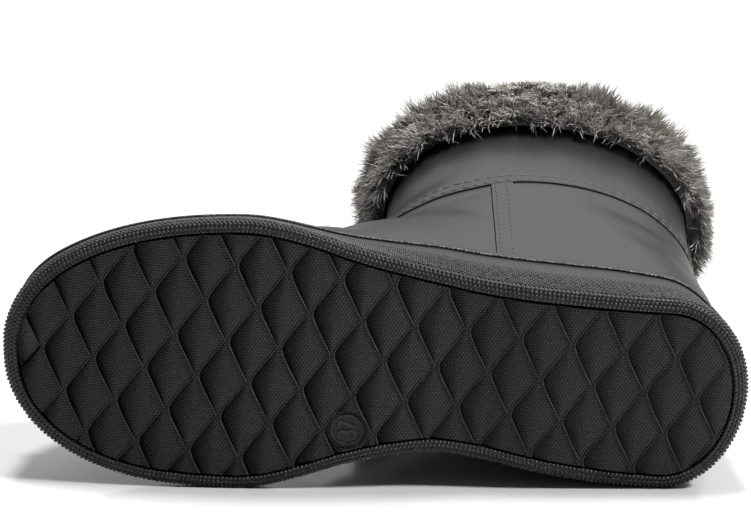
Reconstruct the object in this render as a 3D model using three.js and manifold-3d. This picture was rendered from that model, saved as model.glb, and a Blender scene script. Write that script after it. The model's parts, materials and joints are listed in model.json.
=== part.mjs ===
// Winter boot for the left foot, empty and lying on its inner side with the sole towards -Y.
// The boot is modelled standing, in millimetres: x runs from heel to toe, y to the outer side of the
// foot and z up. The last section lays it on its side and puts the origin under the middle of its box.
import * as THREE from "three";
import { mergeVertices } from "three/addons/utils/BufferGeometryUtils.js";
import Module from "manifold-3d";

const wasm = await Module();
wasm.setup();

// Sizes of the sole
const SOLE_LENGTH = 262;
const BALL_WIDTH = 102;
const WAIST_WIDTH = 69;
const HEEL_WIDTH = 72;
const TOE_SPRING = 13;
const ARCH_RISE = 1.5;
const HEEL_BEVEL = 2;
const SIDE_WALL = 5;
const EDGE_RADIUS = 3.2;
const LIP_HEIGHT = 3;
const LIP_STEP = 0.6;
const HEEL_WALL_HEIGHT = 32;
const BALL_WALL_HEIGHT = 25;
const TOE_BUMPER_HEIGHT = 30;
const HEEL_BED_HEIGHT = 14;
const BALL_BED_HEIGHT = 9;
const WALL_LEAN_DEGREES = 17;

// Sizes of the tread panel
const RIM_WIDTH = 5.3;
const TREAD_THICKNESS = 4;
const SCALE_LENGTH = 18.3;
const SCALE_WIDTH = 28.4;
const SCALE_TURN_DEGREES = 3.8;
const BALL_SCALE_DEPTH = 2.2;
const HEEL_SCALE_DEPTH = 1.2;
const TREAD_GROOVE = 0.8;
const SIZE_DISC_DIAMETER = 14.5;
const SIZE_DISC_DEPTH = 0.6;
const SIZE_DISC = { x: 0.532 * SOLE_LENGTH, y: -0.196 * BALL_WIDTH };
const NUB_DIAMETER = 4;
const NUB = { x: 0.504 * SOLE_LENGTH, y: 0.068 * BALL_WIDTH };
const LATTICE_START = { x: 0.908 * SOLE_LENGTH, y: 0.14 * BALL_WIDTH };

// Sizes of the upper, the insole and the fur
const BOOT_HEIGHT = 200;
const TOE_HEIGHT = 61;
const INSTEP_HEIGHT = 100;
const SHAFT_DEPTH = 123;
const SHAFT_WIDTH = 84;
const ANKLE_WIDTH = 73;
const SHAFT_SEAM_HEIGHT = 114;
const COUNTER_SEAM = 0.34 * SOLE_LENGTH;
const LEATHER = 2.4;
const SEAM_WIDTH = 3.2;
const SEAM_RISE = 1.3;
const INSOLE_THICKNESS = 4;
const CUFF_HEIGHT = 30;
const CUFF_THICKNESS = 7.5;
const LOCK_LENGTH = 13;
const LOCK_GIRTH = 4.6;
const FUR_SWELL = 2.4;

// Running clearance between pieces that meet
const CLEARANCE = 0.3;

// Plan outline of the sole, heel to toe. Each row: place as a share of the length, the named width it
// follows, and the inner and outer half widths as shares of that width.
const OUTLINE = [
  { at: 0.0, width: HEEL_WIDTH, inner: 0.5, outer: 0.5 },
  { at: 0.155, width: HEEL_WIDTH, inner: 0.502, outer: 0.5 },
  { at: 0.265, width: HEEL_WIDTH, inner: 0.462, outer: 0.514 },
  { at: 0.36, width: WAIST_WIDTH, inner: 0.42, outer: 0.562 },
  { at: 0.42, width: WAIST_WIDTH, inner: 0.405, outer: 0.602 },
  { at: 0.48, width: WAIST_WIDTH, inner: 0.44, outer: 0.652 },
  { at: 0.535, width: BALL_WIDTH, inner: 0.338, outer: 0.475 },
  { at: 0.595, width: BALL_WIDTH, inner: 0.398, outer: 0.52 },
  { at: 0.655, width: BALL_WIDTH, inner: 0.445, outer: 0.549 },
  { at: 0.73, width: BALL_WIDTH, inner: 0.456, outer: 0.551 },
  { at: 1.0, width: BALL_WIDTH, inner: 0.456, outer: 0.551 },
];

// Round ends of the plan outline: the length that each end takes, as a share of the named width, and
// how square it is.
const HEEL_END = { length: 0.4 * HEEL_WIDTH, square: 2 };
const TOE_END = {
  inner: { length: 0.66 * BALL_WIDTH, square: 2.3 },
  outer: { length: 0.88 * BALL_WIDTH, square: 2.02 },
};

// Top edge of the side wall. Each row: place as a share of the length, and the wall's height.
const WALL_TOP = [
  { at: 0.0, height: HEEL_WALL_HEIGHT },
  { at: 0.2, height: HEEL_WALL_HEIGHT },
  { at: 0.42, height: 0.4 * BALL_WALL_HEIGHT + 0.6 * HEEL_WALL_HEIGHT },
  { at: 0.58, height: 1.06 * BALL_WALL_HEIGHT },
  { at: 0.7, height: BALL_WALL_HEIGHT },
  { at: 0.82, height: 0.65 * BALL_WALL_HEIGHT + 0.35 * TOE_BUMPER_HEIGHT },
  { at: 0.92, height: 0.22 * BALL_WALL_HEIGHT + 0.78 * TOE_BUMPER_HEIGHT },
  { at: 1.0, height: TOE_BUMPER_HEIGHT },
];

// How much of the wall's lean each place has: upright at the waist, leaning in at the ball and round the
// corners of the heel
const WALL_LEAN = [
  { at: 0.0, share: 0.25 },
  { at: 0.05, share: 0.6 },
  { at: 0.12, share: 0.3 },
  { at: 0.2, share: 0.12 },
  { at: 0.4, share: 0.14 },
  { at: 0.5, share: 0.5 },
  { at: 0.6, share: 0.95 },
  { at: 0.75, share: 1.0 },
  { at: 0.9, share: 0.8 },
  { at: 1.0, share: 0.3 },
];

// Height of the footbed over the sole's own underside
const BED = [
  { at: 0.0, height: HEEL_BED_HEIGHT },
  { at: 0.22, height: HEEL_BED_HEIGHT },
  { at: 0.6, height: BALL_BED_HEIGHT },
  { at: 1.0, height: BALL_BED_HEIGHT },
];

// Fan of sections that makes the upper. Each runs from a point on the front line of the boot to a point
// on the sole or up the back. front: share of the length, or deep: share of the shaft's depth. vamp and
// shaft: how far the point has risen from toe height to instep height, and from there to the top.
// under: share of the length, for a section that ends on the sole, or back: share of the height above
// the footbed, for one that ends up the back. round: the part of the section over which it rounds over
// to the front line, and square: how square that rounding is.
const FAN = [
  { front: 0.886, vamp: 0, shaft: 0, under: 0.886, round: 0.66, square: 2.9 },
  { front: 0.802, vamp: 0.167, shaft: 0, under: 0.8, round: 0.74, square: 2.5 },
  { front: 0.726, vamp: 0.346, shaft: 0, under: 0.71, round: 0.77, square: 2.3 },
  { front: 0.657, vamp: 0.551, shaft: 0, under: 0.61, round: 0.75, square: 2.2 },
  { front: 0.6, vamp: 0.782, shaft: 0, under: 0.495, round: 0.69, square: 2.1 },
  { deep: 1.146, vamp: 1, shaft: 0.005, under: 0.372, round: 0.62, square: 2.1 },
  { deep: 1.097, vamp: 1, shaft: 0.075, under: 0.24, round: 0.57, square: 2.1 },
  { deep: 1.065, vamp: 1, shaft: 0.14, under: 0.12, round: 0.53, square: 2.1 },
  { deep: 1.041, vamp: 1, shaft: 0.205, under: 0.05, round: 0.51, square: 2.1 },
  { deep: 1.023, vamp: 1, shaft: 0.27, back: 0.0, round: 0.49, square: 2.1 },
  { deep: 1.009, vamp: 1, shaft: 0.36, back: 0.2, round: 0.48, square: 2.1 },
  { deep: 1.001, vamp: 1, shaft: 0.44, back: 0.42, round: 0.47, square: 2.1 },
  { deep: 0.996, vamp: 1, shaft: 0.52, back: 0.62, round: 0.47, square: 2.1 },
  { deep: 0.992, vamp: 1, shaft: 0.6, back: 0.785, round: 0.48, square: 2.1 },
  { deep: 0.993, vamp: 1, shaft: 0.8, back: 0.8925, round: 0.49, square: 2.1 },
  { deep: 1.0, vamp: 1, shaft: 1.0, back: 1.0, round: 0.49, square: 2.1 },
];
const TOE_FRONT_SQUARE = 3.2;

// Back line of the upper. Each row: share of the boot's height above the footbed, and how far forward
// of the cup wall it stands, as a share of the heel width.
const BACK_LINE = [
  { up: 0.0, forward: 0.0 },
  { up: 0.12, forward: -0.005 },
  { up: 0.28, forward: 0.012 },
  { up: 0.45, forward: 0.052 },
  { up: 0.6, forward: 0.062 },
  { up: 0.8, forward: 0.035 },
  { up: 1.0, forward: 0.0 },
];

// Side to side width of the shaft. Each row: share of the boot's height, and the width.
const SHAFT_SIDES = [
  { up: 0.0, width: ANKLE_WIDTH },
  { up: 0.5, width: ANKLE_WIDTH },
  { up: 0.72, width: 0.55 * ANKLE_WIDTH + 0.45 * SHAFT_WIDTH },
  { up: 1.0, width: SHAFT_WIDTH },
];

// How finely the surfaces are divided
const OUTLINE_STATIONS = 40;
const SECTION_POINTS = 12;
const FAN_STEPS = 2;
const TOE_ROWS = 5;
const CUFF_POINTS = 34;
const LEVEL_ROWS = 2;

// Smooth curve through the rows of a table
function through(rows, key, value, place) {
  const last = rows.length - 1;
  if (place <= rows[0][key]) {
    return rows[0][value];
  }
  if (place >= rows[last][key]) {
    return rows[last][value];
  }
  let i = 0;
  while (place > rows[i + 1][key]) {
    i += 1;
  }
  const slope = (k) => {
    const a = Math.max(k - 1, 0);
    const b = Math.min(k + 1, last);
    return (rows[b][value] - rows[a][value]) / (rows[b][key] - rows[a][key]);
  };
  const span = rows[i + 1][key] - rows[i][key];
  const t = (place - rows[i][key]) / span;
  const t2 = t * t;
  const t3 = t2 * t;
  return (
    (2 * t3 - 3 * t2 + 1) * rows[i][value] +
    (t3 - 2 * t2 + t) * span * slope(i) +
    (3 * t2 - 2 * t3) * rows[i + 1][value] +
    (t3 - t2) * span * slope(i + 1)
  );
}

const clamp = (value, low, high) => Math.min(Math.max(value, low), high);

const smoothStep = (low, high, value) => {
  const t = clamp((value - low) / (high - low), 0, 1);
  return t * t * (3 - 2 * t);
};

const mix = (a, b, t) => a + (b - a) * t;

// Rises from 0 to 1 over a length, as the end of a rounded outline does
function roundOff(distance, length, square = 2) {
  const t = length > 0 ? clamp(distance / length, 0, 1) : 1;
  return (1 - (1 - t) ** square) ** (1 / square);
}

// Height of the sole's underside along its length
function underside(x) {
  const toe = clamp((x / SOLE_LENGTH - 0.6) / 0.4, 0, 1);
  const heel = clamp(1 - x / (0.07 * SOLE_LENGTH), 0, 1);
  const arch = clamp((x / SOLE_LENGTH - 0.26) / 0.26, 0, 1);
  return TOE_SPRING * toe ** 2 + HEEL_BEVEL * heel ** 2 + ARCH_RISE * Math.sin(Math.PI * arch) ** 2;
}

const wallTop = (x) => underside(x) + through(WALL_TOP, "at", "height", x / SOLE_LENGTH);
const bedTop = (x) => underside(x) + through(BED, "at", "height", x / SOLE_LENGTH);

// How far the leaning wall has moved in at a height over the underside
function leanIn(x, rise) {
  const lean = Math.tan((WALL_LEAN_DEGREES * Math.PI) / 180);
  return lean * through(WALL_LEAN, "at", "share", x / SOLE_LENGTH) * Math.max(rise, 0);
}

const OUTLINE_SIDES = OUTLINE.map((row) => ({
  at: row.at,
  inner: row.inner * row.width,
  outer: row.outer * row.width,
}));

// Half width of the sole's plan without its round ends
const fullHalf = (side, x) => through(OUTLINE_SIDES, "at", side, x / SOLE_LENGTH);

// Rounding of the plan at the toe for an outline set in by an amount
function toeRound(side, x, inset) {
  const end = TOE_END[side];
  return roundOff(SOLE_LENGTH - inset - x, end.length - inset, end.square);
}

// Half width of the sole's plan, set in by an amount
function planHalf(side, x, inset) {
  const heel = roundOff(x - inset, HEEL_END.length - inset, HEEL_END.square);
  return Math.max(fullHalf(side, x) - inset, 0) * heel * toeRound(side, x, inset);
}

// Closed ring round the plan, with its height given by a function of x
function planRing(insetAt, heightAt) {
  const ring = [];
  const station = (k) => (1 - Math.cos((Math.PI * k) / OUTLINE_STATIONS)) / 2;
  for (const side of ["outer", "inner"]) {
    const sign = side === "outer" ? 1 : -1;
    for (let k = 0; k < OUTLINE_STATIONS; k += 1) {
      const step = side === "outer" ? k : OUTLINE_STATIONS - k;
      const rough = SOLE_LENGTH * station(step);
      const inset = insetAt(rough);
      const x = mix(insetAt(0), SOLE_LENGTH - insetAt(SOLE_LENGTH), station(step));
      const half = step === 0 || step === OUTLINE_STATIONS ? 0 : planHalf(side, x, inset);
      ring.push(new THREE.Vector3(x, sign * half, heightAt(x)));
    }
  }
  return ring;
}

// Mesh helper that collects triangles and turns them into a manifold solid
class Skin {
  constructor() {
    this.points = [];
  }

  triangle(a, b, c) {
    const same = (p, q) => p.distanceToSquared(q) < 1e-8;
    if (same(a, b) || same(b, c) || same(a, c)) {
      return;
    }
    this.points.push(a, b, c);
  }

  quad(a, b, c, d) {
    this.triangle(a, b, c);
    this.triangle(a, c, d);
  }

  // Wall between two rings of equal count
  band(low, high) {
    for (let k = 0; k < low.length; k += 1) {
      const next = (k + 1) % low.length;
      this.quad(low[k], low[next], high[next], high[k]);
    }
  }

  // Ladder of faces across a ring whose points face each other in pairs from the first point
  ladder(ring, up) {
    const count = ring.length;
    for (let k = 0; k < count / 2; k += 1) {
      const a = ring[k];
      const b = ring[k + 1];
      const c = ring[(count - k - 1 + count) % count];
      const d = ring[(count - k) % count];
      if (up) {
        this.quad(a, b, c, d);
      } else {
        this.quad(d, c, b, a);
      }
    }
  }

  solid() {
    const geometry = new THREE.BufferGeometry().setFromPoints(this.points);
    return solidFrom(geometry);
  }
}

// Manifold solid of a closed geometry, turned right side out
function solidFrom(geometry) {
  const bare = geometry.clone();
  bare.deleteAttribute("normal");
  bare.deleteAttribute("uv");
  const merged = mergeVertices(bare, 1e-4);
  const triVerts = new Uint32Array(merged.index.array);
  const make = () =>
    new wasm.Manifold(
      new wasm.Mesh({ numProp: 3, vertProperties: merged.attributes.position.array, triVerts }),
    );
  const solid = make();
  if (solid.volume() >= 0) {
    return solid;
  }
  for (let i = 0; i < triVerts.length; i += 3) {
    [triVerts[i + 1], triVerts[i + 2]] = [triVerts[i + 2], triVerts[i + 1]];
  }
  return make();
}

// Solid made of rings stacked from the underside up
function stack(rings) {
  const skin = new Skin();
  skin.ladder(rings[0], false);
  for (let i = 1; i < rings.length; i += 1) {
    skin.band(rings[i - 1], rings[i]);
  }
  skin.ladder(rings[rings.length - 1], true);
  return skin.solid();
}

// Back line of the upper at a height
function backLine(z) {
  const low = bedTop(0);
  const forward = through(BACK_LINE, "up", "forward", (z - low) / (BOOT_HEIGHT - low));
  return SIDE_WALL + forward * HEEL_WIDTH;
}

// Half width of the upper at a place and height, before it rounds over to the front line
function upperHalf(side, x, z, offset) {
  const rise = Math.min(z - underside(x), HEEL_WALL_HEIGHT);
  const foot = fullHalf(side, x) - SIDE_WALL - leanIn(x, rise);
  const shaft = through(SHAFT_SIDES, "up", "width", z / BOOT_HEIGHT) / 2;
  const up = smoothStep(HEEL_WALL_HEIGHT, 0.58 * BOOT_HEIGHT, z);
  const half = mix(foot, shaft, up) + offset;
  const heelLength = mix(HEEL_END.length - SIDE_WALL, SHAFT_DEPTH / 2, up) + offset;
  const heel = roundOff(x - (backLine(z) - offset), heelLength, HEEL_END.square);
  return half * heel * toeRound(side, x, SIDE_WALL - offset);
}

// Rows of the fan, with each front point and each place along the sole and up the back worked out
const FAN_ROWS = FAN.map((row, index) => ({
  index,
  round: row.round,
  square: row.square,
  x: row.front === undefined ? SIDE_WALL + row.deep * SHAFT_DEPTH : row.front * SOLE_LENGTH,
  z: TOE_HEIGHT + row.vamp * (INSTEP_HEIGHT - TOE_HEIGHT) + row.shaft * (BOOT_HEIGHT - INSTEP_HEIGHT),
  path: row.back === undefined
    ? SIDE_WALL - row.under * SOLE_LENGTH
    : row.back * (BOOT_HEIGHT - bedTop(0)),
}));

// Front point of a fan section, moved out along the surface by an offset
function frontPoint(place, offset) {
  const at = (key, p) => through(FAN_ROWS, "index", key, clamp(p, 0, FAN.length - 1));
  const dx = at("x", place + 0.2) - at("x", place - 0.2);
  const dz = at("z", place + 0.2) - at("z", place - 0.2);
  const length = Math.hypot(dx, dz);
  const flat = place >= FAN.length - 1;
  const out = flat ? [1, 0] : [dz / length, -dx / length];
  return { x: at("x", place) + offset * out[0], z: at("z", place) + offset * out[1] };
}

// Where a fan section ends: along the sole for a negative path, up the back for a positive one
function backPoint(place, offset, drop) {
  const index = Math.min(Math.floor(place), FAN.length - 2);
  const path = mix(FAN_ROWS[index].path, FAN_ROWS[index + 1].path, place - index);
  if (path > 0) {
    const z = bedTop(0) + path;
    const low = drop * clamp(1 - path / HEEL_BED_HEIGHT, 0, 1);
    return { x: backLine(z) - offset, z: z - low };
  }
  const x = SIDE_WALL - path - offset * clamp(1 + path / HEEL_END.length, 0, 1);
  return { x, z: bedTop(x) - drop };
}

// Closed ring of one section, from the back point over the outer side to the front and back
function sectionRing(back, front, round, square, offset) {
  const length = Math.hypot(front.x - back.x, front.z - back.z);
  const outer = [];
  const inner = [];
  for (let k = 0; k < SECTION_POINTS; k += 1) {
    const u = (1 - Math.cos((Math.PI * k) / SECTION_POINTS)) / 2;
    const x = mix(back.x, front.x, u);
    const z = mix(back.z, front.z, u);
    const over = roundOff((1 - u) * length, round * length, square);
    outer.push(new THREE.Vector3(x, upperHalf("outer", x, z, offset) * over, z));
    inner.unshift(new THREE.Vector3(x, -upperHalf("inner", x, z, offset) * over, z));
  }
  return [...outer, new THREE.Vector3(front.x, 0, front.z), ...inner];
}

// Outer form of the upper moved out by an offset, its underside lowered by drop and its top raised
function upperForm(offset, drop = 0, raise = 0) {
  const rings = [];
  const first = frontPoint(0, offset);
  const tip = SOLE_LENGTH - SIDE_WALL + offset;
  const slope = (frontPoint(1, offset).z - first.z) / (frontPoint(1, offset).x - first.x);
  for (let k = TOE_ROWS; k > 0; k -= 1) {
    const x = mix(first.x, tip, Math.sin((Math.PI * k) / TOE_ROWS / 2));
    const low = bedTop(x) - drop;
    const line = first.z + slope * (x - first.x);
    const z = low + (line - low) * roundOff(tip - x, tip - first.x, TOE_FRONT_SQUARE);
    rings.push(sectionRing({ x, z: low }, { x, z }, FAN[0].round, FAN[0].square, offset));
  }
  const straight = FAN.length - 1 - LEVEL_ROWS;
  for (let place = 0; place <= FAN.length - 1; place += place < straight ? 1 / FAN_STEPS : 1) {
    const row = (key) => through(FAN_ROWS, "index", key, place);
    const front = frontPoint(place, offset);
    rings.push(sectionRing(backPoint(place, offset, drop), front, row("round"), row("square"), offset));
  }
  const top = rings[rings.length - 1];
  if (raise > 0) {
    rings.push(top.map((point) => point.clone().setZ(point.z + raise)));
  }
  const skin = new Skin();
  for (let i = 1; i < rings.length; i += 1) {
    skin.band(rings[i - 1], rings[i]);
  }
  const lid = rings[rings.length - 1];
  for (let k = 0; k < SECTION_POINTS; k += 1) {
    skin.quad(lid[k], lid[k + 1], lid[lid.length - k - 2], lid[lid.length - k - 1]);
  }
  return skin.solid();
}

// Ring round the plan at a height over the underside, set in by an amount and by the wall's lean
function wallRing(inset, riseAt) {
  return planRing(
    (x) => inset + leanIn(x, riseAt(x)),
    (x) => underside(x) + riseAt(x),
  );
}

const wallHeight = (x) => wallTop(x) - underside(x);

// Tread panel's plan as an upright block, set in from the rim, between two heights over the underside
function panelBlock(inset, low, high) {
  return stack([
    planRing(() => RIM_WIDTH + inset, (x) => underside(x) + low),
    planRing(() => RIM_WIDTH + inset, (x) => underside(x) + high),
  ]);
}

// Cup sole: rounded bottom edge, leaning side wall, stepped lip, hollow for the upper, seat for the tread
function soleCup() {
  const outside = stack([
    wallRing(EDGE_RADIUS, () => 0),
    wallRing(0.3 * EDGE_RADIUS, () => 0.3 * EDGE_RADIUS),
    wallRing(0, () => EDGE_RADIUS),
    wallRing(0, (x) => 0.5 * wallHeight(x)),
    wallRing(0, (x) => wallHeight(x) - LIP_HEIGHT),
    wallRing(-LIP_STEP, (x) => wallHeight(x) - LIP_HEIGHT + LIP_STEP / 2),
    wallRing(-LIP_STEP, (x) => wallHeight(x) - LIP_STEP),
    wallRing(LIP_STEP, wallHeight),
  ]);
  const seat = panelBlock(0, -TREAD_THICKNESS, TREAD_THICKNESS + CLEARANCE);
  return outside.subtract(upperForm(CLEARANCE)).subtract(seat);
}

// Lattice of overlapping scales. A scale is flat over its heel half, and its toe half slopes in to a
// deep corner, so that each scale steps down from its neighbours.
const TURN = (SCALE_TURN_DEGREES * Math.PI) / 180;

function latticePoint(along, across) {
  const back = (along * SCALE_LENGTH) / 2;
  const side = (across * SCALE_WIDTH) / 2;
  return {
    x: LATTICE_START.x - back * Math.cos(TURN) + side * Math.sin(TURN),
    y: LATTICE_START.y - back * Math.sin(TURN) - side * Math.cos(TURN),
  };
}

function scaleDepth(x) {
  return mix(HEEL_SCALE_DEPTH, BALL_SCALE_DEPTH, smoothStep(0.3 * SOLE_LENGTH, 0.6 * SOLE_LENGTH, x));
}

function scaleSlab() {
  const reach = Math.ceil((2 * SOLE_LENGTH) / SCALE_LENGTH);
  const spread = Math.ceil((2 * BALL_WIDTH) / SCALE_WIDTH);
  const cells = new Set();
  for (let along = -4; along < reach; along += 1) {
    for (let across = -spread; across <= spread; across += 1) {
      if ((along + across) % 2 === 0) {
        cells.add(`${along},${across}`);
      }
    }
  }
  const corner = (along, across, lift) => {
    const { x, y } = latticePoint(along, across);
    return new THREE.Vector3(x, y, underside(x) + lift(x));
  };
  const ground = () => 0;
  const back = () => 2 * TREAD_THICKNESS;
  const skin = new Skin();
  for (const cell of cells) {
    const [a, b] = cell.split(",").map(Number);
    const places = [[a, b], [a + 1, b - 1], [a + 2, b], [a + 1, b + 1]];
    const [toe, outer, heel, inner] = places.map(([i, j]) => corner(i, j, ground));
    const top = places.map(([i, j]) => corner(i, j, back));
    const deep = corner(a, b, scaleDepth);
    skin.triangle(deep, inner, outer);
    skin.triangle(outer, inner, heel);
    skin.triangle(deep, outer, toe);
    skin.triangle(inner, deep, toe);
    skin.quad(top[0], top[1], top[2], top[3]);
    const edge = (i, j, from, to, fromTop, toTop) => {
      if (!cells.has(`${i},${j}`)) {
        skin.quad(from, to, toTop, fromTop);
      }
    };
    edge(a - 1, b - 1, toe, outer, top[0], top[1]);
    edge(a + 1, b - 1, outer, heel, top[1], top[2]);
    edge(a + 1, b + 1, heel, inner, top[2], top[3]);
    edge(a - 1, b + 1, inner, toe, top[3], top[0]);
  }
  return skin.solid();
}

// Upright cylinder as a manifold solid
function disc(x, y, low, high, diameter, sides) {
  const geometry = new THREE.CylinderGeometry(diameter / 2, diameter / 2, high - low, sides);
  geometry.rotateX(Math.PI / 2);
  geometry.translate(x, y, (low + high) / 2);
  return solidFrom(geometry);
}

// Tread plate: the scales cut to the panel's outline, with the flat size disc and the moulding nub
function treadPlate() {
  const panel = panelBlock(TREAD_GROOVE, -TREAD_THICKNESS, TREAD_THICKNESS);
  const { x, y } = SIZE_DISC;
  const face = underside(x) + SIZE_DISC_DEPTH;
  const middle = underside(x) + TREAD_THICKNESS / 2 + BALL_SCALE_DEPTH / 2;
  const boss = disc(x, y, face, middle, SIZE_DISC_DIAMETER, 24);
  const clear = disc(x, y, face - TREAD_THICKNESS, face, SIZE_DISC_DIAMETER, 24);
  const nubFace = underside(NUB.x) + CLEARANCE;
  const nub = disc(NUB.x, NUB.y, nubFace, middle, NUB_DIAMETER, 10);
  return scaleSlab().add(boss).subtract(clear).add(nub).intersect(panel);
}

// Part of the hollow leather wall, open above and underneath, between two places along the boot and two
// heights
function leatherWall(backX, frontX, low, high) {
  const outside = upperForm(0, -CLEARANCE);
  const inside = upperForm(-LEATHER, HEEL_BED_HEIGHT / 2, CUFF_HEIGHT);
  const part = block([backX, -SOLE_LENGTH, low], [frontX, SOLE_LENGTH, high]);
  return outside.subtract(inside).intersect(part);
}

const upper = () => leatherWall(COUNTER_SEAM + CLEARANCE, 2 * SOLE_LENGTH, -BOOT_HEIGHT, SHAFT_SEAM_HEIGHT);
const counter = () => leatherWall(-SOLE_LENGTH, COUNTER_SEAM, -BOOT_HEIGHT, SHAFT_SEAM_HEIGHT);
const shaft = () =>
  leatherWall(-SOLE_LENGTH, 2 * SOLE_LENGTH, SHAFT_SEAM_HEIGHT + CLEARANCE, 2 * BOOT_HEIGHT);

// Insole: lies on the cup inside the upper's edge
function insole() {
  const inset = (x) => SIDE_WALL + LEATHER + leanIn(x, bedTop(x) - underside(x));
  const slab = stack([
    planRing(inset, (x) => bedTop(x) + CLEARANCE),
    planRing(inset, (x) => bedTop(x) + CLEARANCE + INSOLE_THICKNESS),
  ]);
  return slab.intersect(upperForm(-LEATHER - CLEARANCE, HEEL_BED_HEIGHT / 2));
}

// Box given by its low and high corners
function block(low, high) {
  const geometry = new THREE.BoxGeometry(high[0] - low[0], high[1] - low[1], high[2] - low[2]);
  geometry.translate((low[0] + high[0]) / 2, (low[1] + high[1]) / 2, (low[2] + high[2]) / 2);
  return solidFrom(geometry);
}

// Everything below the top of the cup's lip
function belowLip() {
  return stack([
    planRing(() => -2 * SIDE_WALL, () => -BOOT_HEIGHT / 2),
    planRing(() => -2 * SIDE_WALL, (x) => wallTop(x) + CLEARANCE),
  ]);
}

// Raised seam on the upper's centre line, from the lip to the underside of the fur
function centreSeam(fromX, toX) {
  const skin = upperForm(CLEARANCE + SEAM_RISE).subtract(upperForm(CLEARANCE));
  const half = SEAM_WIDTH / 2;
  const top = BOOT_HEIGHT - CUFF_HEIGHT - LOCK_LENGTH;
  return skin.intersect(block([fromX, -half, 0], [toX, half, top])).subtract(belowLip());
}

// Level ring round the shaft at a height, moved out by an offset
function shaftRing(z, offset, count) {
  const level = Math.min(z, BOOT_HEIGHT);
  const share = (level - INSTEP_HEIGHT) / (BOOT_HEIGHT - INSTEP_HEIGHT);
  const back = backLine(level) - offset;
  const front = through(FAN_ROWS.slice(5), "z", "x", mix(INSTEP_HEIGHT, BOOT_HEIGHT, share)) + offset;
  const last = FAN[FAN.length - 1];
  const ring = [];
  for (let k = 0; k < count; k += 1) {
    const angle = (2 * Math.PI * k) / count;
    const x = mix(back, front, (1 - Math.cos(angle)) / 2);
    const side = Math.sin(angle) >= 0 ? "outer" : "inner";
    const over = roundOff(front - x, last.round * (front - back), last.square);
    const half = upperHalf(side, x, level, offset) * over;
    const sign = k === 0 || 2 * k === count ? 0 : Math.sign(Math.sin(angle));
    ring.push(new THREE.Vector3(x, sign * half, z));
  }
  return ring;
}

// Section of the fur cuff, turned over the collar: distance out from the leather, and height from the
// collar edge. The slot between the last two points and the first holds the leather.
const CUFF_SECTION = [
  { out: 2 * CLEARANCE, up: -0.94 * CUFF_HEIGHT, fur: 0 },
  { out: 0.7 * CUFF_THICKNESS, up: -CUFF_HEIGHT, fur: 0.5 },
  { out: CUFF_THICKNESS, up: -0.75 * CUFF_HEIGHT, fur: 1 },
  { out: CUFF_THICKNESS, up: -0.35 * CUFF_HEIGHT, fur: 1 },
  { out: 0.75 * CUFF_THICKNESS, up: 0.05 * CUFF_HEIGHT, fur: 1 },
  { out: -0.5 * LEATHER, up: 0.25 * CUFF_HEIGHT, fur: 0.7 },
  { out: -LEATHER - 0.75 * CUFF_THICKNESS, up: 0.05 * CUFF_HEIGHT, fur: 0.6 },
  { out: -LEATHER - CUFF_THICKNESS, up: -0.4 * CUFF_HEIGHT, fur: 0.4 },
  { out: -LEATHER - 0.6 * CUFF_THICKNESS, up: -0.8 * CUFF_HEIGHT, fur: 0.2 },
  { out: -LEATHER - 3 * CLEARANCE, up: -0.75 * CUFF_HEIGHT, fur: 0 },
  { out: -LEATHER - 3 * CLEARANCE, up: CLEARANCE, fur: 0 },
  { out: 2 * CLEARANCE, up: CLEARANCE, fur: 0 },
];

// Rows of locks on the fur: height from the collar edge and distance out, as shares of the cuff's height
// and thickness, and how many stand round the shaft
const LOCK_ROWS = [
  { up: -0.6, out: 0.8, count: 18 },
  { up: -0.3, out: 0.85, count: 19 },
  { up: 0.02, out: 0.6, count: 17 },
];

// Repeatable uneven value between 0 and 1
const uneven = (n) => {
  const s = Math.sin(n * 12.9898 + 4.1) * 43758.5453;
  return s - Math.floor(s);
};

// One lock: a bent tuft with its root sunk in the fur and a tip that hangs down and stands out
function lock(root, out, along, length, girth) {
  const sides = 4;
  const place = (outward, downward) =>
    root.clone().addScaledVector(out, outward * length).setZ(root.z - downward * length);
  const ring = (centre, radius) => {
    const points = [];
    for (let k = 0; k < sides; k += 1) {
      const angle = (2 * Math.PI * k) / sides;
      const point = centre.clone().addScaledVector(along, Math.cos(angle) * radius);
      points.push(point.addScaledVector(out, Math.sin(angle) * radius * 0.6));
    }
    return points;
  };
  const rootEnd = place(-0.14, -0.1);
  const rings = [ring(rootEnd, 0.6 * girth), ring(place(0.05, 0.3), girth)];
  const tip = place(0.2, 1);
  const skin = new Skin();
  skin.band(rings[0], rings[1]);
  for (let k = 0; k < sides; k += 1) {
    const next = (k + 1) % sides;
    skin.triangle(rings[0][next], rings[0][k], rootEnd);
    skin.triangle(rings[1][k], rings[1][next], tip);
  }
  return skin.solid();
}

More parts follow.
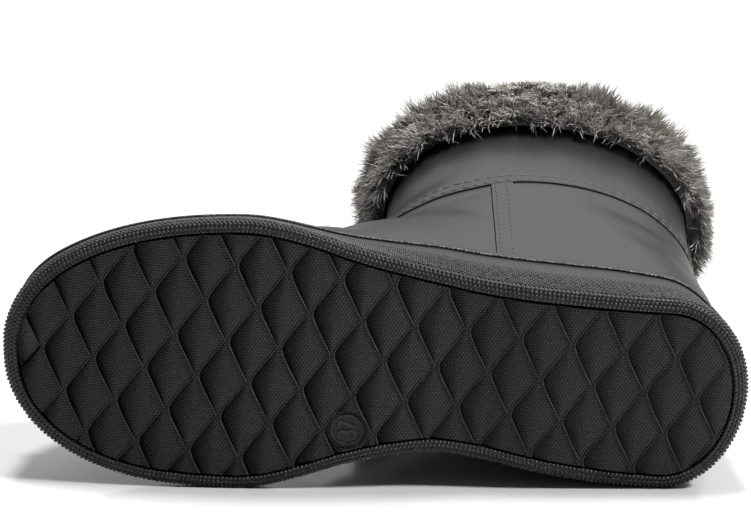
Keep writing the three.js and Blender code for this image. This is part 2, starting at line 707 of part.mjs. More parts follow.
// Fur cuff: a soft ring over the collar edge with rows of locks fused on
function furCuff() {
  const rings = CUFF_SECTION.map((row, r) => {
    const ring = shaftRing(BOOT_HEIGHT + row.up, row.out, CUFF_POINTS);
    const plain = shaftRing(BOOT_HEIGHT + row.up, row.out + 1, CUFF_POINTS);
    return ring.map((point, k) => {
      const swell = row.fur * FUR_SWELL * (uneven(17 * r + k) - 0.5);
      return point.clone().lerp(plain[k], swell);
    });
  });
  const skin = new Skin();
  for (let i = 0; i < rings.length; i += 1) {
    skin.band(rings[i], rings[(i + 1) % rings.length]);
  }
  const tufts = [skin.solid()];
  for (let level = 0; level < LOCK_ROWS.length; level += 1) {
    const row = LOCK_ROWS[level];
    const z = BOOT_HEIGHT + row.up * CUFF_HEIGHT;
    const ring = shaftRing(z, row.out * CUFF_THICKNESS, row.count);
    const wide = shaftRing(z, row.out * CUFF_THICKNESS + 1, row.count);
    for (let k = 0; k < row.count; k += 1) {
      const out = wide[k].clone().sub(ring[k]).normalize();
      const along = new THREE.Vector3(-out.y, out.x, 0);
      const seed = 31 * level + k;
      const root = ring[k].clone().addScaledVector(along, 4 * (uneven(seed) - 0.5));
      const length = LOCK_LENGTH * (0.75 + 0.4 * uneven(seed + 7));
      tufts.push(lock(root, out, along, length, LOCK_GIRTH * (0.8 + 0.4 * uneven(seed + 3))));
    }
  }
  return wasm.Manifold.union(tufts);
}

// Builds a named mesh from a solid
function piece(name, solid, color, roughness) {
  const mesh = solid.getMesh();
  const geometry = new THREE.BufferGeometry();
  geometry.setAttribute("position", new THREE.BufferAttribute(mesh.vertProperties, 3));
  geometry.setIndex(new THREE.BufferAttribute(mesh.triVerts, 1));
  const flat = geometry.toNonIndexed();
  flat.computeVertexNormals();
  const material = new THREE.MeshStandardMaterial({ color, roughness, metalness: 0 });
  const result = new THREE.Mesh(flat, material);
  result.name = name;
  return result;
}

const boot = new THREE.Group();
boot.add(piece("sole_cup", soleCup(), 0x151617, 0.6));
boot.add(piece("tread_plate", treadPlate(), 0x18191a, 0.65));
boot.add(piece("upper", upper(), 0x1d1d1f, 0.5));
boot.add(piece("counter", counter(), 0x1d1d1f, 0.5));
boot.add(piece("shaft", shaft(), 0x1d1d1f, 0.5));
boot.add(piece("front_seam", centreSeam(0.3 * SOLE_LENGTH, SOLE_LENGTH), 0x232325, 0.5));
boot.add(piece("back_seam", centreSeam(-SIDE_WALL, 0.3 * SOLE_LENGTH), 0x232325, 0.5));
boot.add(piece("insole", insole(), 0x8d8a84, 0.95));
boot.add(piece("fur_cuff", furCuff(), 0x8b8780, 1.0));

// Lays the boot on its inner side: heel to toe runs to -X, the outer side faces up, the shaft runs to +Y
const laid = new THREE.Matrix4().makeBasis(
  new THREE.Vector3(-1, 0, 0),
  new THREE.Vector3(0, 0, 1),
  new THREE.Vector3(0, 1, 0),
);

// The three places that carry it: ball and heel at the sole's inner edge, and the fur at the collar
const RESTS = [
  (p) => p.x > 0.5 * SOLE_LENGTH && p.z < 0.4 * BOOT_HEIGHT,
  (p) => p.x < 0.35 * SOLE_LENGTH && p.z < 0.3 * BOOT_HEIGHT,
  (p) => p.z > 0.7 * BOOT_HEIGHT,
];

// Every corner of the boot, in its own standing frame
function corners() {
  const points = [];
  boot.traverse((mesh) => {
    if (mesh.isMesh) {
      const place = mesh.geometry.getAttribute("position");
      for (let i = 0; i < place.count; i += 1) {
        points.push(new THREE.Vector3().fromBufferAttribute(place, i));
      }
    }
  });
  return points;
}

// Turns the laid boot until the lowest point of each of the three places is on the floor, then puts
// the origin on the floor under the middle of its box
function settle() {
  const points = corners();
  const groups = RESTS.map((inside) => points.filter(inside));
  const turn = new THREE.Quaternion().setFromRotationMatrix(laid);
  const up = new THREE.Vector3(0, 0, 1);
  for (let round = 0; round < 12; round += 1) {
    const lowest = groups.map((group) => {
      let best = null;
      for (const point of group) {
        const placed = point.clone().applyQuaternion(turn);
        if (!best || placed.z < best.z) {
          best = placed;
        }
      }
      return best;
    });
    const one = lowest[1].clone().sub(lowest[0]);
    const two = lowest[2].clone().sub(lowest[0]);
    const normal = one.cross(two).normalize();
    if (normal.z < 0) {
      normal.negate();
    }
    turn.premultiply(new THREE.Quaternion().setFromUnitVectors(normal, up));
  }
  const box = new THREE.Box3().setFromPoints(points.map((point) => point.clone().applyQuaternion(turn)));
  boot.quaternion.copy(turn);
  boot.position.set(-(box.min.x + box.max.x) / 2, -(box.min.y + box.max.y) / 2, -box.min.z);
}

settle();

const model = new THREE.Group();
model.add(boot);

export default model;
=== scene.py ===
import json
import math

import bpy
import numpy as np
from mathutils import Matrix, Vector
from mathutils.bvhtree import BVHTree


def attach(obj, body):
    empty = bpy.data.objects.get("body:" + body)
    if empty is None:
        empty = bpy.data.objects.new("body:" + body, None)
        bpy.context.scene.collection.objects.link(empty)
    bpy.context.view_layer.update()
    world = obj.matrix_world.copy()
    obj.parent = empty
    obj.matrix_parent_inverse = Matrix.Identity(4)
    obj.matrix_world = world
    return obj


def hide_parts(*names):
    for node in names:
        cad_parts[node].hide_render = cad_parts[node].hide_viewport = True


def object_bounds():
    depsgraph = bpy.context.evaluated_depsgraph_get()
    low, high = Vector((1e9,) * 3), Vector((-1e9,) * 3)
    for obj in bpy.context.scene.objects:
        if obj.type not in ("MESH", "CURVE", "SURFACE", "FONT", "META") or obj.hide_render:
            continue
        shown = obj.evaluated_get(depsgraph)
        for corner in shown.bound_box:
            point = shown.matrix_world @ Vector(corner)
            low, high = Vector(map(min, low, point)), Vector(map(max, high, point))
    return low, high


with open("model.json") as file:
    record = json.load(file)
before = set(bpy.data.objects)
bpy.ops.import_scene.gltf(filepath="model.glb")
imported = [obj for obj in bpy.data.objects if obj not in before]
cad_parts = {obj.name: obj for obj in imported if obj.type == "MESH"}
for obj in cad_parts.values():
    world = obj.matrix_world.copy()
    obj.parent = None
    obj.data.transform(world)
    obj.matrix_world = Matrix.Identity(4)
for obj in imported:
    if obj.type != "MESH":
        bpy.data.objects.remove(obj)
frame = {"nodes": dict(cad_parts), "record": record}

CAD_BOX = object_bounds()

# Sizes of the boot in millimetres, as in its solids. The boot's own frame stands it up: x runs from heel
# to toe, y to the outer side of the foot and z up.
SOLE_LENGTH = 262.0
BALL_WIDTH = 102.0
WAIST_WIDTH = 69.0
HEEL_WIDTH = 72.0
TOE_SPRING = 13.0
ARCH_RISE = 1.5
HEEL_BEVEL = 2.0
SIDE_WALL = 5.0
EDGE_RADIUS = 3.2
LIP_HEIGHT = 3.0
LIP_STEP = 0.6
HEEL_WALL_HEIGHT = 32.0
BALL_WALL_HEIGHT = 25.0
TOE_BUMPER_HEIGHT = 30.0
HEEL_BED_HEIGHT = 14.0
BALL_BED_HEIGHT = 9.0
WALL_LEAN = math.tan(math.radians(17))
RIM_WIDTH = 5.3
TREAD_THICKNESS = 4.0
TREAD_GROOVE = 0.8
SCALE_LENGTH = 18.3
SCALE_WIDTH = 28.4
SCALE_TURN = math.radians(3.8)
BALL_SCALE_DEPTH = 2.2
HEEL_SCALE_DEPTH = 1.2
SIZE_DISC_DIAMETER = 14.5
SIZE_DISC_DEPTH = 0.6
SIZE_DISC = (0.532 * SOLE_LENGTH, -0.196 * BALL_WIDTH)
MOUNT_X = 0.537 * SOLE_LENGTH
NUB_DIAMETER = 4.0
NUB = (0.504 * SOLE_LENGTH, 0.068 * BALL_WIDTH)
LATTICE_START = (0.908 * SOLE_LENGTH, 0.14 * BALL_WIDTH)
BOOT_HEIGHT = 200.0
TOE_HEIGHT = 61.0
INSTEP_HEIGHT = 100.0
SHAFT_DEPTH = 123.0
SHAFT_WIDTH = 84.0
ANKLE_WIDTH = 73.0
SHAFT_SEAM_HEIGHT = 114.0
COUNTER_SEAM = 0.34 * SOLE_LENGTH
LEATHER = 2.4
SEAM_RISE = 1.3
SEAM_WIDTH = 3.2
INSOLE_THICKNESS = 4.0
CUFF_HEIGHT = 30.0
CUFF_THICKNESS = 7.5
LOCK_LENGTH = 13.0
CLEARANCE = 0.3
RIM_FLAT = RIM_WIDTH - EDGE_RADIUS
EDGE_BEND = EDGE_RADIUS * math.pi / 2
SEAM_TOP = BOOT_HEIGHT - CUFF_HEIGHT - LOCK_LENGTH

# Sizes of what only the looks have
DOT_PITCH = 1.62
DOT_RADIUS = 0.62
DOT_RISE = 0.74
DOT_BASE = 0.45
DOT_ROW = DOT_PITCH * 0.87
FIRST_DOT_ROW = 0.55
DOTS_ROUND = 396
DOTS_TOP = 19.0
DOT_MARGIN = 0.9
DOT_FADE = 0.45
DOTS_PARTED = RIM_FLAT + EDGE_BEND + 5.5
DOTS_END = 60
PANEL_INSET = TREAD_GROOVE + 0.1
TREAD_DOT_PITCH = 1.2
TREAD_DOT_ROW = 0.98
SCALE_CORNER = 0.16
SCALE_BEAD = 0.2
SCALE_CREASE = 0.13
SCALE_BEND = 1.8
SCALE_FALL = 0.7
SIZE_DISC_RING = 11.6
RING_HOLE = SIZE_DISC_RING - 1.3
RING_ROOT = 0.42
DIGIT_ROOT = 0.5
DIGIT_STROKE = 0.9
MARK_RISE = 0.2
LINING = 3.2
STITCH_PITCH = 4.2
STITCH_LENGTH = 2.9
LIP_STITCHES = 2.6
SHAFT_STITCHES = (1.9, 6.2)
COUNTER_STITCHES = (1.7, 6.0)
SEAM_BAND = 8.0
SEAM_LAP = 0.5
SEAM_STEP = 1.5
HAIR_GIRTH = 0.026
HAIR_SINK = 1.4
HAIRS_A_TUFT = 16
LOCK_PULL = 0.7
LOCK_REACH = 5.5
CUFF_SIDES = 120

# Camera as fitted to the photo: pixels, degrees and millimetres, and the pixel of a point of the heel
PHOTO_SIZE = (751, 516)
FOCAL_LENGTH = 3113.0
CAMERA_ELEVATION = 16.1
CAMERA_DISTANCE = 1083
HEEL_POINT = (4.3, 7.0)
HEEL_PIXEL = (739, 380)

# Suns: name, strength, spread in degrees and direction
SUNS = [("overhead", 3.3, 10, (0.03, -0.06, -1.0)), ("side", 4.6, 9, (-0.66, 0.14, -0.72))]
# Light of the room: how far forward and back its change reaches, its strength in front and behind, and
# the heights and shares between which it grows from the skyline up
ROOM_TURN = (-0.25, 0.6)
ROOM_LIGHT = (0.1, 1.3)
ROOM_RISE = (0.1, 0.6, 0.2, 1.15)

# Darkest and lightest colour of each material
COLOURS = {
    "moulded rubber": ((0.004, 0.0042, 0.0044), (0.026, 0.0265, 0.027)),
    "rubber of the dots": ((0.01, 0.0103, 0.0106), (0.036, 0.0365, 0.037)),
    "tread rubber": ((0.001, 0.001, 0.0011), (0.096, 0.0965, 0.097)),
    "black leather": ((0.007, 0.007, 0.0075), (0.014, 0.014, 0.0145)),
    "lining fleece": ((0.2, 0.19, 0.18), (0.5, 0.48, 0.45)),
    "insole fleece": ((0.24, 0.23, 0.22), (0.52, 0.5, 0.47)),
    "fur base": ((0.07, 0.066, 0.062), (0.3, 0.28, 0.26)),
    "grey fur": ((0.06, 0.056, 0.052), (0.62, 0.59, 0.55)),
}


class Curve:
    """Smooth curve through the rows of a table, from one column to another."""

    def __init__(self, keys, values):
        self.keys = np.asarray(keys, float)
        self.values = np.asarray(values, float)
        last = len(self.keys) - 1
        low = np.maximum(np.arange(last + 1) - 1, 0)
        high = np.minimum(np.arange(last + 1) + 1, last)
        self.slopes = (self.values[high] - self.values[low]) / (self.keys[high] - self.keys[low])

    def __call__(self, place):
        place = np.clip(place, self.keys[0], self.keys[-1])
        i = np.clip(np.searchsorted(self.keys, place, side="right") - 1, 0, len(self.keys) - 2)
        span = self.keys[i + 1] - self.keys[i]
        t = (place - self.keys[i]) / span
        return (
            (2 * t**3 - 3 * t**2 + 1) * self.values[i]
            + (t**3 - 2 * t**2 + t) * span * self.slopes[i]
            + (3 * t**2 - 2 * t**3) * self.values[i + 1]
            + (t**3 - t**2) * span * self.slopes[i + 1]
        )


def curve(rows):
    """Curve through rows of a place and a value."""
    return Curve(*zip(*rows))


# Plan outline of the sole: place as a share of the length, the width followed, inner and outer halves
OUTLINE = [
    (0.0, HEEL_WIDTH, 0.5, 0.5),
    (0.155, HEEL_WIDTH, 0.502, 0.5),
    (0.265, HEEL_WIDTH, 0.462, 0.514),
    (0.36, WAIST_WIDTH, 0.42, 0.562),
    (0.42, WAIST_WIDTH, 0.405, 0.602),
    (0.48, WAIST_WIDTH, 0.44, 0.652),
    (0.535, BALL_WIDTH, 0.338, 0.475),
    (0.595, BALL_WIDTH, 0.398, 0.52),
    (0.655, BALL_WIDTH, 0.445, 0.549),
    (0.73, BALL_WIDTH, 0.456, 0.551),
    (1.0, BALL_WIDTH, 0.456, 0.551),
]
FULL_HALF = {
    side: Curve([row[0] * SOLE_LENGTH for row in OUTLINE], [row[1] * row[k] for row in OUTLINE])
    for side, k in (("inner", 2), ("outer", 3))
}
HEEL_END = 0.4 * HEEL_WIDTH
TOE_END = {"inner": (0.66 * BALL_WIDTH, 2.3), "outer": (0.88 * BALL_WIDTH, 2.02)}
WALL_TOP = curve([
    (0.0, HEEL_WALL_HEIGHT),
    (0.2, HEEL_WALL_HEIGHT),
    (0.42, 0.4 * BALL_WALL_HEIGHT + 0.6 * HEEL_WALL_HEIGHT),
    (0.58, 1.06 * BALL_WALL_HEIGHT),
    (0.7, BALL_WALL_HEIGHT),
    (0.82, 0.65 * BALL_WALL_HEIGHT + 0.35 * TOE_BUMPER_HEIGHT),
    (0.92, 0.22 * BALL_WALL_HEIGHT + 0.78 * TOE_BUMPER_HEIGHT),
    (1.0, TOE_BUMPER_HEIGHT),
])
LEAN_SHARE = curve([(0.0, 0.25), (0.05, 0.6), (0.12, 0.3), (0.2, 0.12), (0.4, 0.14), (0.5, 0.5),
                    (0.6, 0.95), (0.75, 1.0), (0.9, 0.8), (1.0, 0.3)])
BED = curve([(0.0, HEEL_BED_HEIGHT), (0.22, HEEL_BED_HEIGHT), (0.6, BALL_BED_HEIGHT),
             (1.0, BALL_BED_HEIGHT)])

# Fan of sections of the upper: front place as a share of the length or, after the fifth row, of the
# shaft's depth, rise to the instep, rise above it, where it ends under the foot as a share of the length
# or, from the tenth row, up the back as a share of the height, the part that rounds over, and how square
FAN_FOOT = 5
FAN_SOLE = 9
FAN = [
    (0.886, 0, 0, 0.886, 0.66, 2.9),
    (0.802, 0.167, 0, 0.8, 0.74, 2.5),
    (0.726, 0.346, 0, 0.71, 0.77, 2.3),
    (0.657, 0.551, 0, 0.61, 0.75, 2.2),
    (0.6, 0.782, 0, 0.495, 0.69, 2.1),
    (1.146, 1, 0.005, 0.372, 0.62, 2.1),
    (1.097, 1, 0.075, 0.24, 0.57, 2.1),
    (1.065, 1, 0.14, 0.12, 0.53, 2.1),
    (1.041, 1, 0.205, 0.05, 0.51, 2.1),
    (1.023, 1, 0.27, 0.0, 0.49, 2.1),
    (1.009, 1, 0.36, 0.2, 0.48, 2.1),
    (1.001, 1, 0.44, 0.42, 0.47, 2.1),
    (0.996, 1, 0.52, 0.62, 0.47, 2.1),
    (0.992, 1, 0.6, 0.785, 0.48, 2.1),
    (0.993, 1, 0.8, 0.8925, 0.49, 2.1),
    (1.0, 1, 1.0, 1.0, 0.49, 2.1),
]
TOE_FRONT_SQUARE = 3.2
BACK_LINE = curve([(0.0, 0.0), (0.12, -0.005), (0.28, 0.012), (0.45, 0.052), (0.6, 0.062),
                   (0.8, 0.035), (1.0, 0.0)])
SHAFT_SIDES = curve([(0.0, ANKLE_WIDTH), (0.5, ANKLE_WIDTH),
                     (0.72, 0.55 * ANKLE_WIDTH + 0.45 * SHAFT_WIDTH), (1.0, SHAFT_WIDTH)])


def smooth_step(low, high, value):
    t = np.clip((value - low) / (high - low), 0, 1)
    return t * t * (3 - 2 * t)


def mix(a, b, t):
    return a + (b - a) * t


def unit(vectors):
    return vectors / np.maximum(np.linalg.norm(vectors, axis=-1, keepdims=True), 1e-9)


def even(value):
    """Function that gives the same value all along the sole."""
    return lambda x: value + 0 * x


def over_sole(rise):
    """Function that gives the height of a rise over the underside."""
    return lambda x: underside(x) + rise


def closed(ring):
    """Ring with its first point once more at its end."""
    return np.concatenate([ring, ring[:1]])


def arc_lengths(line):
    """Length along a line up to each of its points."""
    return np.concatenate([[0], np.cumsum(np.linalg.norm(np.diff(line, axis=0), axis=1))])


def at_lengths(at, length, values):
    """Values of a line's points, read off between them at lengths along the line."""
    return np.stack([np.interp(at, length, part) for part in values.T], 1)


def round_off(distance, length, square=2.0):
    """Rises from 0 to 1 over a length, as the end of a rounded outline does."""
    t = np.clip(distance / np.maximum(length, 1e-6), 0, 1)
    return (1 - (1 - t) ** square) ** (1 / square)


def underside(x):
    """Height of the sole's underside along its length."""
    toe = np.clip((x / SOLE_LENGTH - 0.6) / 0.4, 0, 1)
    heel = np.clip(1 - x / (0.07 * SOLE_LENGTH), 0, 1)
    arch = np.clip((x / SOLE_LENGTH - 0.26) / 0.26, 0, 1)
    return TOE_SPRING * toe**2 + HEEL_BEVEL * heel**2 + ARCH_RISE * np.sin(np.pi * arch) ** 2


def wall_height(x):
    return WALL_TOP(x / SOLE_LENGTH)


def lip_top(x):
    return underside(x) + wall_height(x)


def bed_top(x):
    return underside(x) + BED(x / SOLE_LENGTH)


def lean_in(x, rise):
    """How far the leaning wall has moved in at a height over the underside."""
    return WALL_LEAN * LEAN_SHARE(x / SOLE_LENGTH) * np.maximum(rise, 0)


def toe_round(side, x, inset):
    length, square = TOE_END[side]
    return round_off(SOLE_LENGTH - inset - x, length - inset, square)


def plan_half(side, x, inset):
    """Half width of the sole's plan, set in by an amount."""
    heel = round_off(x - inset, HEEL_END - inset)
    return np.maximum(FULL_HALF[side](x) - inset, 0) * heel * toe_round(side, x, inset)


def plan_ring(inset_at, height_at, stations=150):
    """Closed ring round the plan: heel, outer side, toe, inner side."""
    share = (1 - np.cos(np.pi * np.arange(stations + 1) / stations)) / 2
    inset = inset_at(SOLE_LENGTH * share)
    x = mix(inset_at(np.array([0.0])), SOLE_LENGTH - inset_at(np.array([SOLE_LENGTH])), share)
    outer = plan_half("outer", x, inset)
    inner = plan_half("inner", x, inset)
    outer[[0, -1]] = 0
    z = height_at(x)
    there = np.stack([x, outer, z], 1)[:-1]
    back = np.stack([x, -inner, z], 1)[:0:-1]
    back[0, 1] = 0
    return np.concatenate([there, back])


def back_line(z):
    """Back line of the upper at a height."""
    low = bed_top(0.0)
    return SIDE_WALL + BACK_LINE((z - low) / (BOOT_HEIGHT - low)) * HEEL_WIDTH


def upper_half(side, x, z, offset):
    """Half width of the upper at a place and height, before it rounds over to the front line."""
    rise = np.minimum(z - underside(x), HEEL_WALL_HEIGHT)
    foot = FULL_HALF[side](x) - SIDE_WALL - lean_in(x, rise)
    up = smooth_step(HEEL_WALL_HEIGHT, 0.58 * BOOT_HEIGHT, z)
    half = mix(foot, SHAFT_SIDES(z / BOOT_HEIGHT) / 2, up) + offset
    heel_length = mix(HEEL_END - SIDE_WALL, SHAFT_DEPTH / 2, up) + offset
    heel = round_off(x - (back_line(z) - offset), heel_length)
    return half * heel * toe_round(side, x, SIDE_WALL - offset)


def fan_columns():
    """Front line, end under the foot or up the back, rounding and squareness of the fan's sections."""
    rows = range(len(FAN))
    ahead = [
        FAN[i][0] * SOLE_LENGTH if i < FAN_FOOT else SIDE_WALL + FAN[i][0] * SHAFT_DEPTH
        for i in rows
    ]
    height = [
        TOE_HEIGHT + row[1] * (INSTEP_HEIGHT - TOE_HEIGHT) + row[2] * (BOOT_HEIGHT - INSTEP_HEIGHT)
        for row in FAN
    ]
    path = [
        SIDE_WALL - FAN[i][3] * SOLE_LENGTH if i < FAN_SOLE else FAN[i][3] * (BOOT_HEIGHT - bed_top(0.0))
        for i in rows
    ]
    ends = (Curve(rows, [row[k] for row in FAN]) for k in (4, 5))
    return Curve(rows, ahead), Curve(rows, height), np.array(path), *ends


FRONT_X, FRONT_Z, PATH, ROUND, SQUARE = fan_columns()
LAST_FAN = len(FAN) - 1
SHAFT_FRONT = Curve(FRONT_Z.values[FAN_FOOT:], FRONT_X.values[FAN_FOOT:])


def front_point(place, offset):
    """Front point of a fan section, moved out along the surface by an offset."""
    dx = FRONT_X(place + 0.2) - FRONT_X(place - 0.2)
    dz = FRONT_Z(place + 0.2) - FRONT_Z(place - 0.2)
    length = math.hypot(dx, dz)
    out = (1.0, 0.0) if place >= LAST_FAN else (dz / length, -dx / length)
    return FRONT_X(place) + offset * out[0], FRONT_Z(place) + offset * out[1]


def back_point(place, offset, drop):
    """Where a fan section ends: along the sole for a negative path, up the back for a positive one."""
    index = min(int(place), LAST_FAN - 1)
    path = mix(PATH[index], PATH[index + 1], place - index)
    if path > 0:
        z = bed_top(0.0) + path
        return back_line(z) - offset, z - drop * max(0.0, 1 - path / HEEL_BED_HEIGHT)
    x = SIDE_WALL - path - offset * min(max(1 + path / HEEL_END, 0.0), 1.0)
    return x, bed_top(x) - drop


def section_ring(back, front, round_share, square, offset, points):
    """Ring of one section: back point, outer side, front point, inner side."""
    length = math.hypot(front[0] - back[0], front[1] - back[1])
    u = (1 - np.cos(np.pi * np.arange(points) / points)) / 2
    x = mix(back[0], front[0], u)
    z = mix(back[1], front[1], u)
    over = round_off((1 - u) * length, round_share * length, square)
    outer = np.stack([x, upper_half("outer", x, z, offset) * over, z], 1)
    inner = np.stack([x, -upper_half("inner", x, z, offset) * over, z], 1)[::-1]
    return np.concatenate([outer, [[front[0], 0.0, front[1]]], inner])


def upper_grid(offset, drop=0.0, points=48, steps=6, toe_rows=12):
    """Grid of section rings from the toe tip to the collar."""
    rings = []
    first = front_point(0.0, offset)
    second = front_point(1.0, offset)
    tip = SOLE_LENGTH - SIDE_WALL + offset
    slope = (second[1] - first[1]) / (second[0] - first[0])
    for k in range(toe_rows, 0, -1):
        x = mix(first[0], tip, math.sin(math.pi * k / toe_rows / 2))
        low = bed_top(x) - drop
        line = first[1] + slope * (x - first[0])
        z = low + (line - low) * round_off(tip - x, tip - first[0], TOE_FRONT_SQUARE)
        rings.append(section_ring((x, low), (x, z), FAN[0][4], FAN[0][5], offset, points))
    for k in range(LAST_FAN * steps + 1):
        place = k / steps
        rings.append(section_ring(back_point(place, offset, drop), front_point(place, offset),
                                  ROUND(place), SQUARE(place), offset, points))
    return np.array(rings)


def shaft_points(z, offset, turn):
    """Points round the shaft at heights and turns from 0 to 1, moved out by an offset."""
    level = np.minimum(z, BOOT_HEIGHT)
    back = back_line(level) - offset
    front = SHAFT_FRONT(level) + offset
    angle = 2 * np.pi * turn
    x = mix(back, front, (1 - np.cos(angle)) / 2)
    over = round_off(front - x, FAN[-1][4] * (front - back), FAN[-1][5])
    half = np.where(np.sin(angle) >= 0, upper_half("outer", x, level, offset),
                    -upper_half("inner", x, level, offset))
    return np.stack(np.broadcast_arrays(x, half * over, z), -1)


def shaft_ring(z, offset, count):
    """Level ring round the shaft, moved out by an offset."""
    return shaft_points(np.full(count, float(z)), offset, np.arange(count) / count)


def standing_frame():
    """The boot's own standing frame in the row's frame, from the flat disc of the sole and the seams."""
    mount = next(m for m in frame["record"]["mounts"] if m["name"] == "sole_disc")
    up = -Vector(mount["axis"]).normalized()
    cords = [frame["nodes"][name].data for name in ("front_seam", "back_seam")]
    seams = np.array([vertex.co for cord in cords for vertex in cord.vertices])
    side = Vector(np.linalg.svd(seams - seams.mean(0))[2][2])
    side = (side - up * side.dot(up)).normalized()
    if side.z < 0:
        side.negate()
    ahead = side.cross(up)
    turn = Matrix((ahead, side, up)).transposed()
    local = Vector((MOUNT_X, SIZE_DISC[1], float(underside(MOUNT_X)) + SIZE_DISC_DEPTH)) / 1000
    place = Vector(mount["pos_m"]) - turn @ local
    return np.array(turn), np.array(place)


TURN, PLACE = standing_frame()


def to_row(points):
    """Points of the standing frame in millimetres, to the row's frame in metres."""
    return np.asarray(points, float) @ TURN.T / 1000 + PLACE


def to_row_direction(vectors):
    return np.asarray(vectors, float) @ TURN.T


def to_standing(points):
    """Points of the row's frame in metres, to the standing frame in millimetres."""
    return (points - PLACE) @ TURN * 1000


def weld(points, faces):
    """Joins equal points and leaves out the faces that have no area."""
    _, first, index = np.unique(np.round(points, 4), axis=0, return_index=True, return_inverse=True)
    index = index.reshape(-1)
    kept = []
    for face in faces:
        ring = []
        for k in index[list(face)]:
            if not ring or ring[-1] != k:
                ring.append(int(k))
        if ring[0] == ring[-1]:
            ring.pop()
        if len(set(ring)) >= 3:
            kept.append(ring)
    return points[first], kept


def bands(rings, count, start=0):
    """Quads between rings of equal count."""
    k = np.arange(count)
    following = (k + 1) % count
    quads = [
        np.stack([r * count + k, r * count + following, (r + 1) * count + following, (r + 1) * count + k], 1)
        for r in range(rings - 1)
    ]
    return (np.concatenate(quads) + start).tolist()


def ladder(first, count, up):
    """Quads across a ring whose points face each other in pairs from the first point."""
    made = []
    for k in range(count // 2):
        quad = [first + k, first + k + 1, first + (count - k - 1) % count, first + (count - k) % count]
        made.append(quad if up else quad[::-1])
    return made


def stack(rings):
    """Closed form made of rings stacked from the underside up."""
    count = len(rings[0])
    last = (len(rings) - 1) * count
    faces = ladder(0, count, False) + bands(len(rings), count) + ladder(last, count, True)
    return weld(np.concatenate(rings), faces)


def tube_faces(rings, count):
    """Faces of a tube of rings of equal count, closed at both ends."""
    last = (rings - 1) * count
    return bands(rings, count) + [list(range(count))[::-1], [last + k for k in range(count)]]


def upper_form(offset, drop=0.0, lift=0.0, shape=None):
    """Closed form of the upper moved out by an offset, its underside lowered and its top lifted."""
    grid = upper_grid(offset, drop)
    if shape is not None:
        grid = shape(grid)
    if lift > 0:
        grid = np.concatenate([grid, grid[-1:] + [0.0, 0.0, lift]])
    rings, count = grid.shape[:2]
    faces = bands(rings, count)
    last = (rings - 1) * count
    for k in range(count // 2):
        faces.append([last + k, last + k + 1, last + count - k - 2, last + count - k - 1])
    return weld(grid.reshape(-1, 3), faces)


def wall_ring(inset, rise_at, stations=150):
    """Ring round the plan at a height over the underside, set in by an amount and by the wall's lean."""
    return plan_ring(
        lambda x: inset + lean_in(x, rise_at(x)),
        lambda x: underside(x) + rise_at(x),
        stations,
    )


def mesh_of(name, form):
    """Mesh of a form given in the standing frame, turned right side out."""
    points, faces = form
    mesh = bpy.data.meshes.new(name)
    mesh.from_pydata(to_row(points).tolist(), [], faces)
    mesh.validate()
    if volume_of(mesh) < 0:
        mesh.flip_normals()
    return mesh


def plan_block(name, inset, bottom, top, stations=150):
    """Upright block inside the sole's plan, set in by an amount, between two surfaces."""
    return mesh_of(name, stack([plan_ring(even(inset), level, stations) for level in (bottom, top)]))


def vertex_places(mesh):
    place = np.empty(len(mesh.vertices) * 3)
    mesh.vertices.foreach_get("co", place)
    return place.reshape(-1, 3)


def volume_of(mesh):
    mesh.calc_loop_triangles()
    corner = np.empty(len(mesh.loop_triangles) * 3, dtype=np.int32)
    mesh.loop_triangles.foreach_get("vertices", corner)
    a, b, c = vertex_places(mesh)[corner.reshape(-1, 3)].transpose(1, 0, 2)
    return float(np.einsum("ij,ij->", a, np.cross(b, c)) / 6)


def smooth(mesh):
    mesh.polygons.foreach_set("use_smooth", [True] * len(mesh.polygons))
    return mesh


def store(mesh, name, values):
    """Stores a number or a vector with each vertex of a mesh."""
    kind, key = ("FLOAT_VECTOR", "vector") if np.ndim(values) > 1 else ("FLOAT", "value")
    made = mesh.attributes.new(name, kind, "POINT")
    made.data.foreach_set(key, np.asarray(values, np.float32).ravel())


def shown(name, mesh):
    """Object at the origin that shows a mesh."""
    made = bpy.data.objects.new(name, mesh)
    bpy.context.scene.collection.objects.link(made)
    return made


def plain_copy(name, made):
    """Plain mesh of an object with its modifiers worked out. The object itself goes."""
    graph = bpy.context.evaluated_depsgraph_get()
    mesh = bpy.data.meshes.new_from_object(made.evaluated_get(graph))
    mesh.name = name
    bpy.data.objects.remove(made)
    return mesh


def combine(name, mesh, *steps):
    """Mesh cut or joined with others: each step names DIFFERENCE, INTERSECT or UNION and gives a mesh."""
    for operation, other in steps:
        body = shown(name, mesh)
        tool = shown("tool", other)
        change = body.modifiers.new(operation, "BOOLEAN")
        change.operation = operation
        change.object = tool
        change.solver = "MANIFOLD"
        bpy.context.view_layer.update()
        mesh = plain_copy(name, body)
        bpy.data.objects.remove(tool)
    return mesh


def finish_piece(name, mesh, node, material, crease=60):
    """Shows a mesh in place of a CAD node, smooth but for its creases, and inside the CAD model's box.

    Its standing place and its depth over the underside are stored for the materials.
    """
    standing = to_standing(vertex_places(mesh))
    store(mesh, "place", standing)
    store(mesh, "depth", standing[:, 2] - underside(standing[:, 0]))
    low, high = (np.array(corner) for corner in CAD_BOX)
    mesh.vertices.foreach_set("co", np.clip(vertex_places(mesh), low, high).ravel())
    smooth(mesh).set_sharp_from_angle(angle=math.radians(crease))
    mesh.materials.clear()
    mesh.materials.append(material)
    mesh.update()
    made = shown(name, mesh)
    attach(made, "root")
    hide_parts(node)
    return made


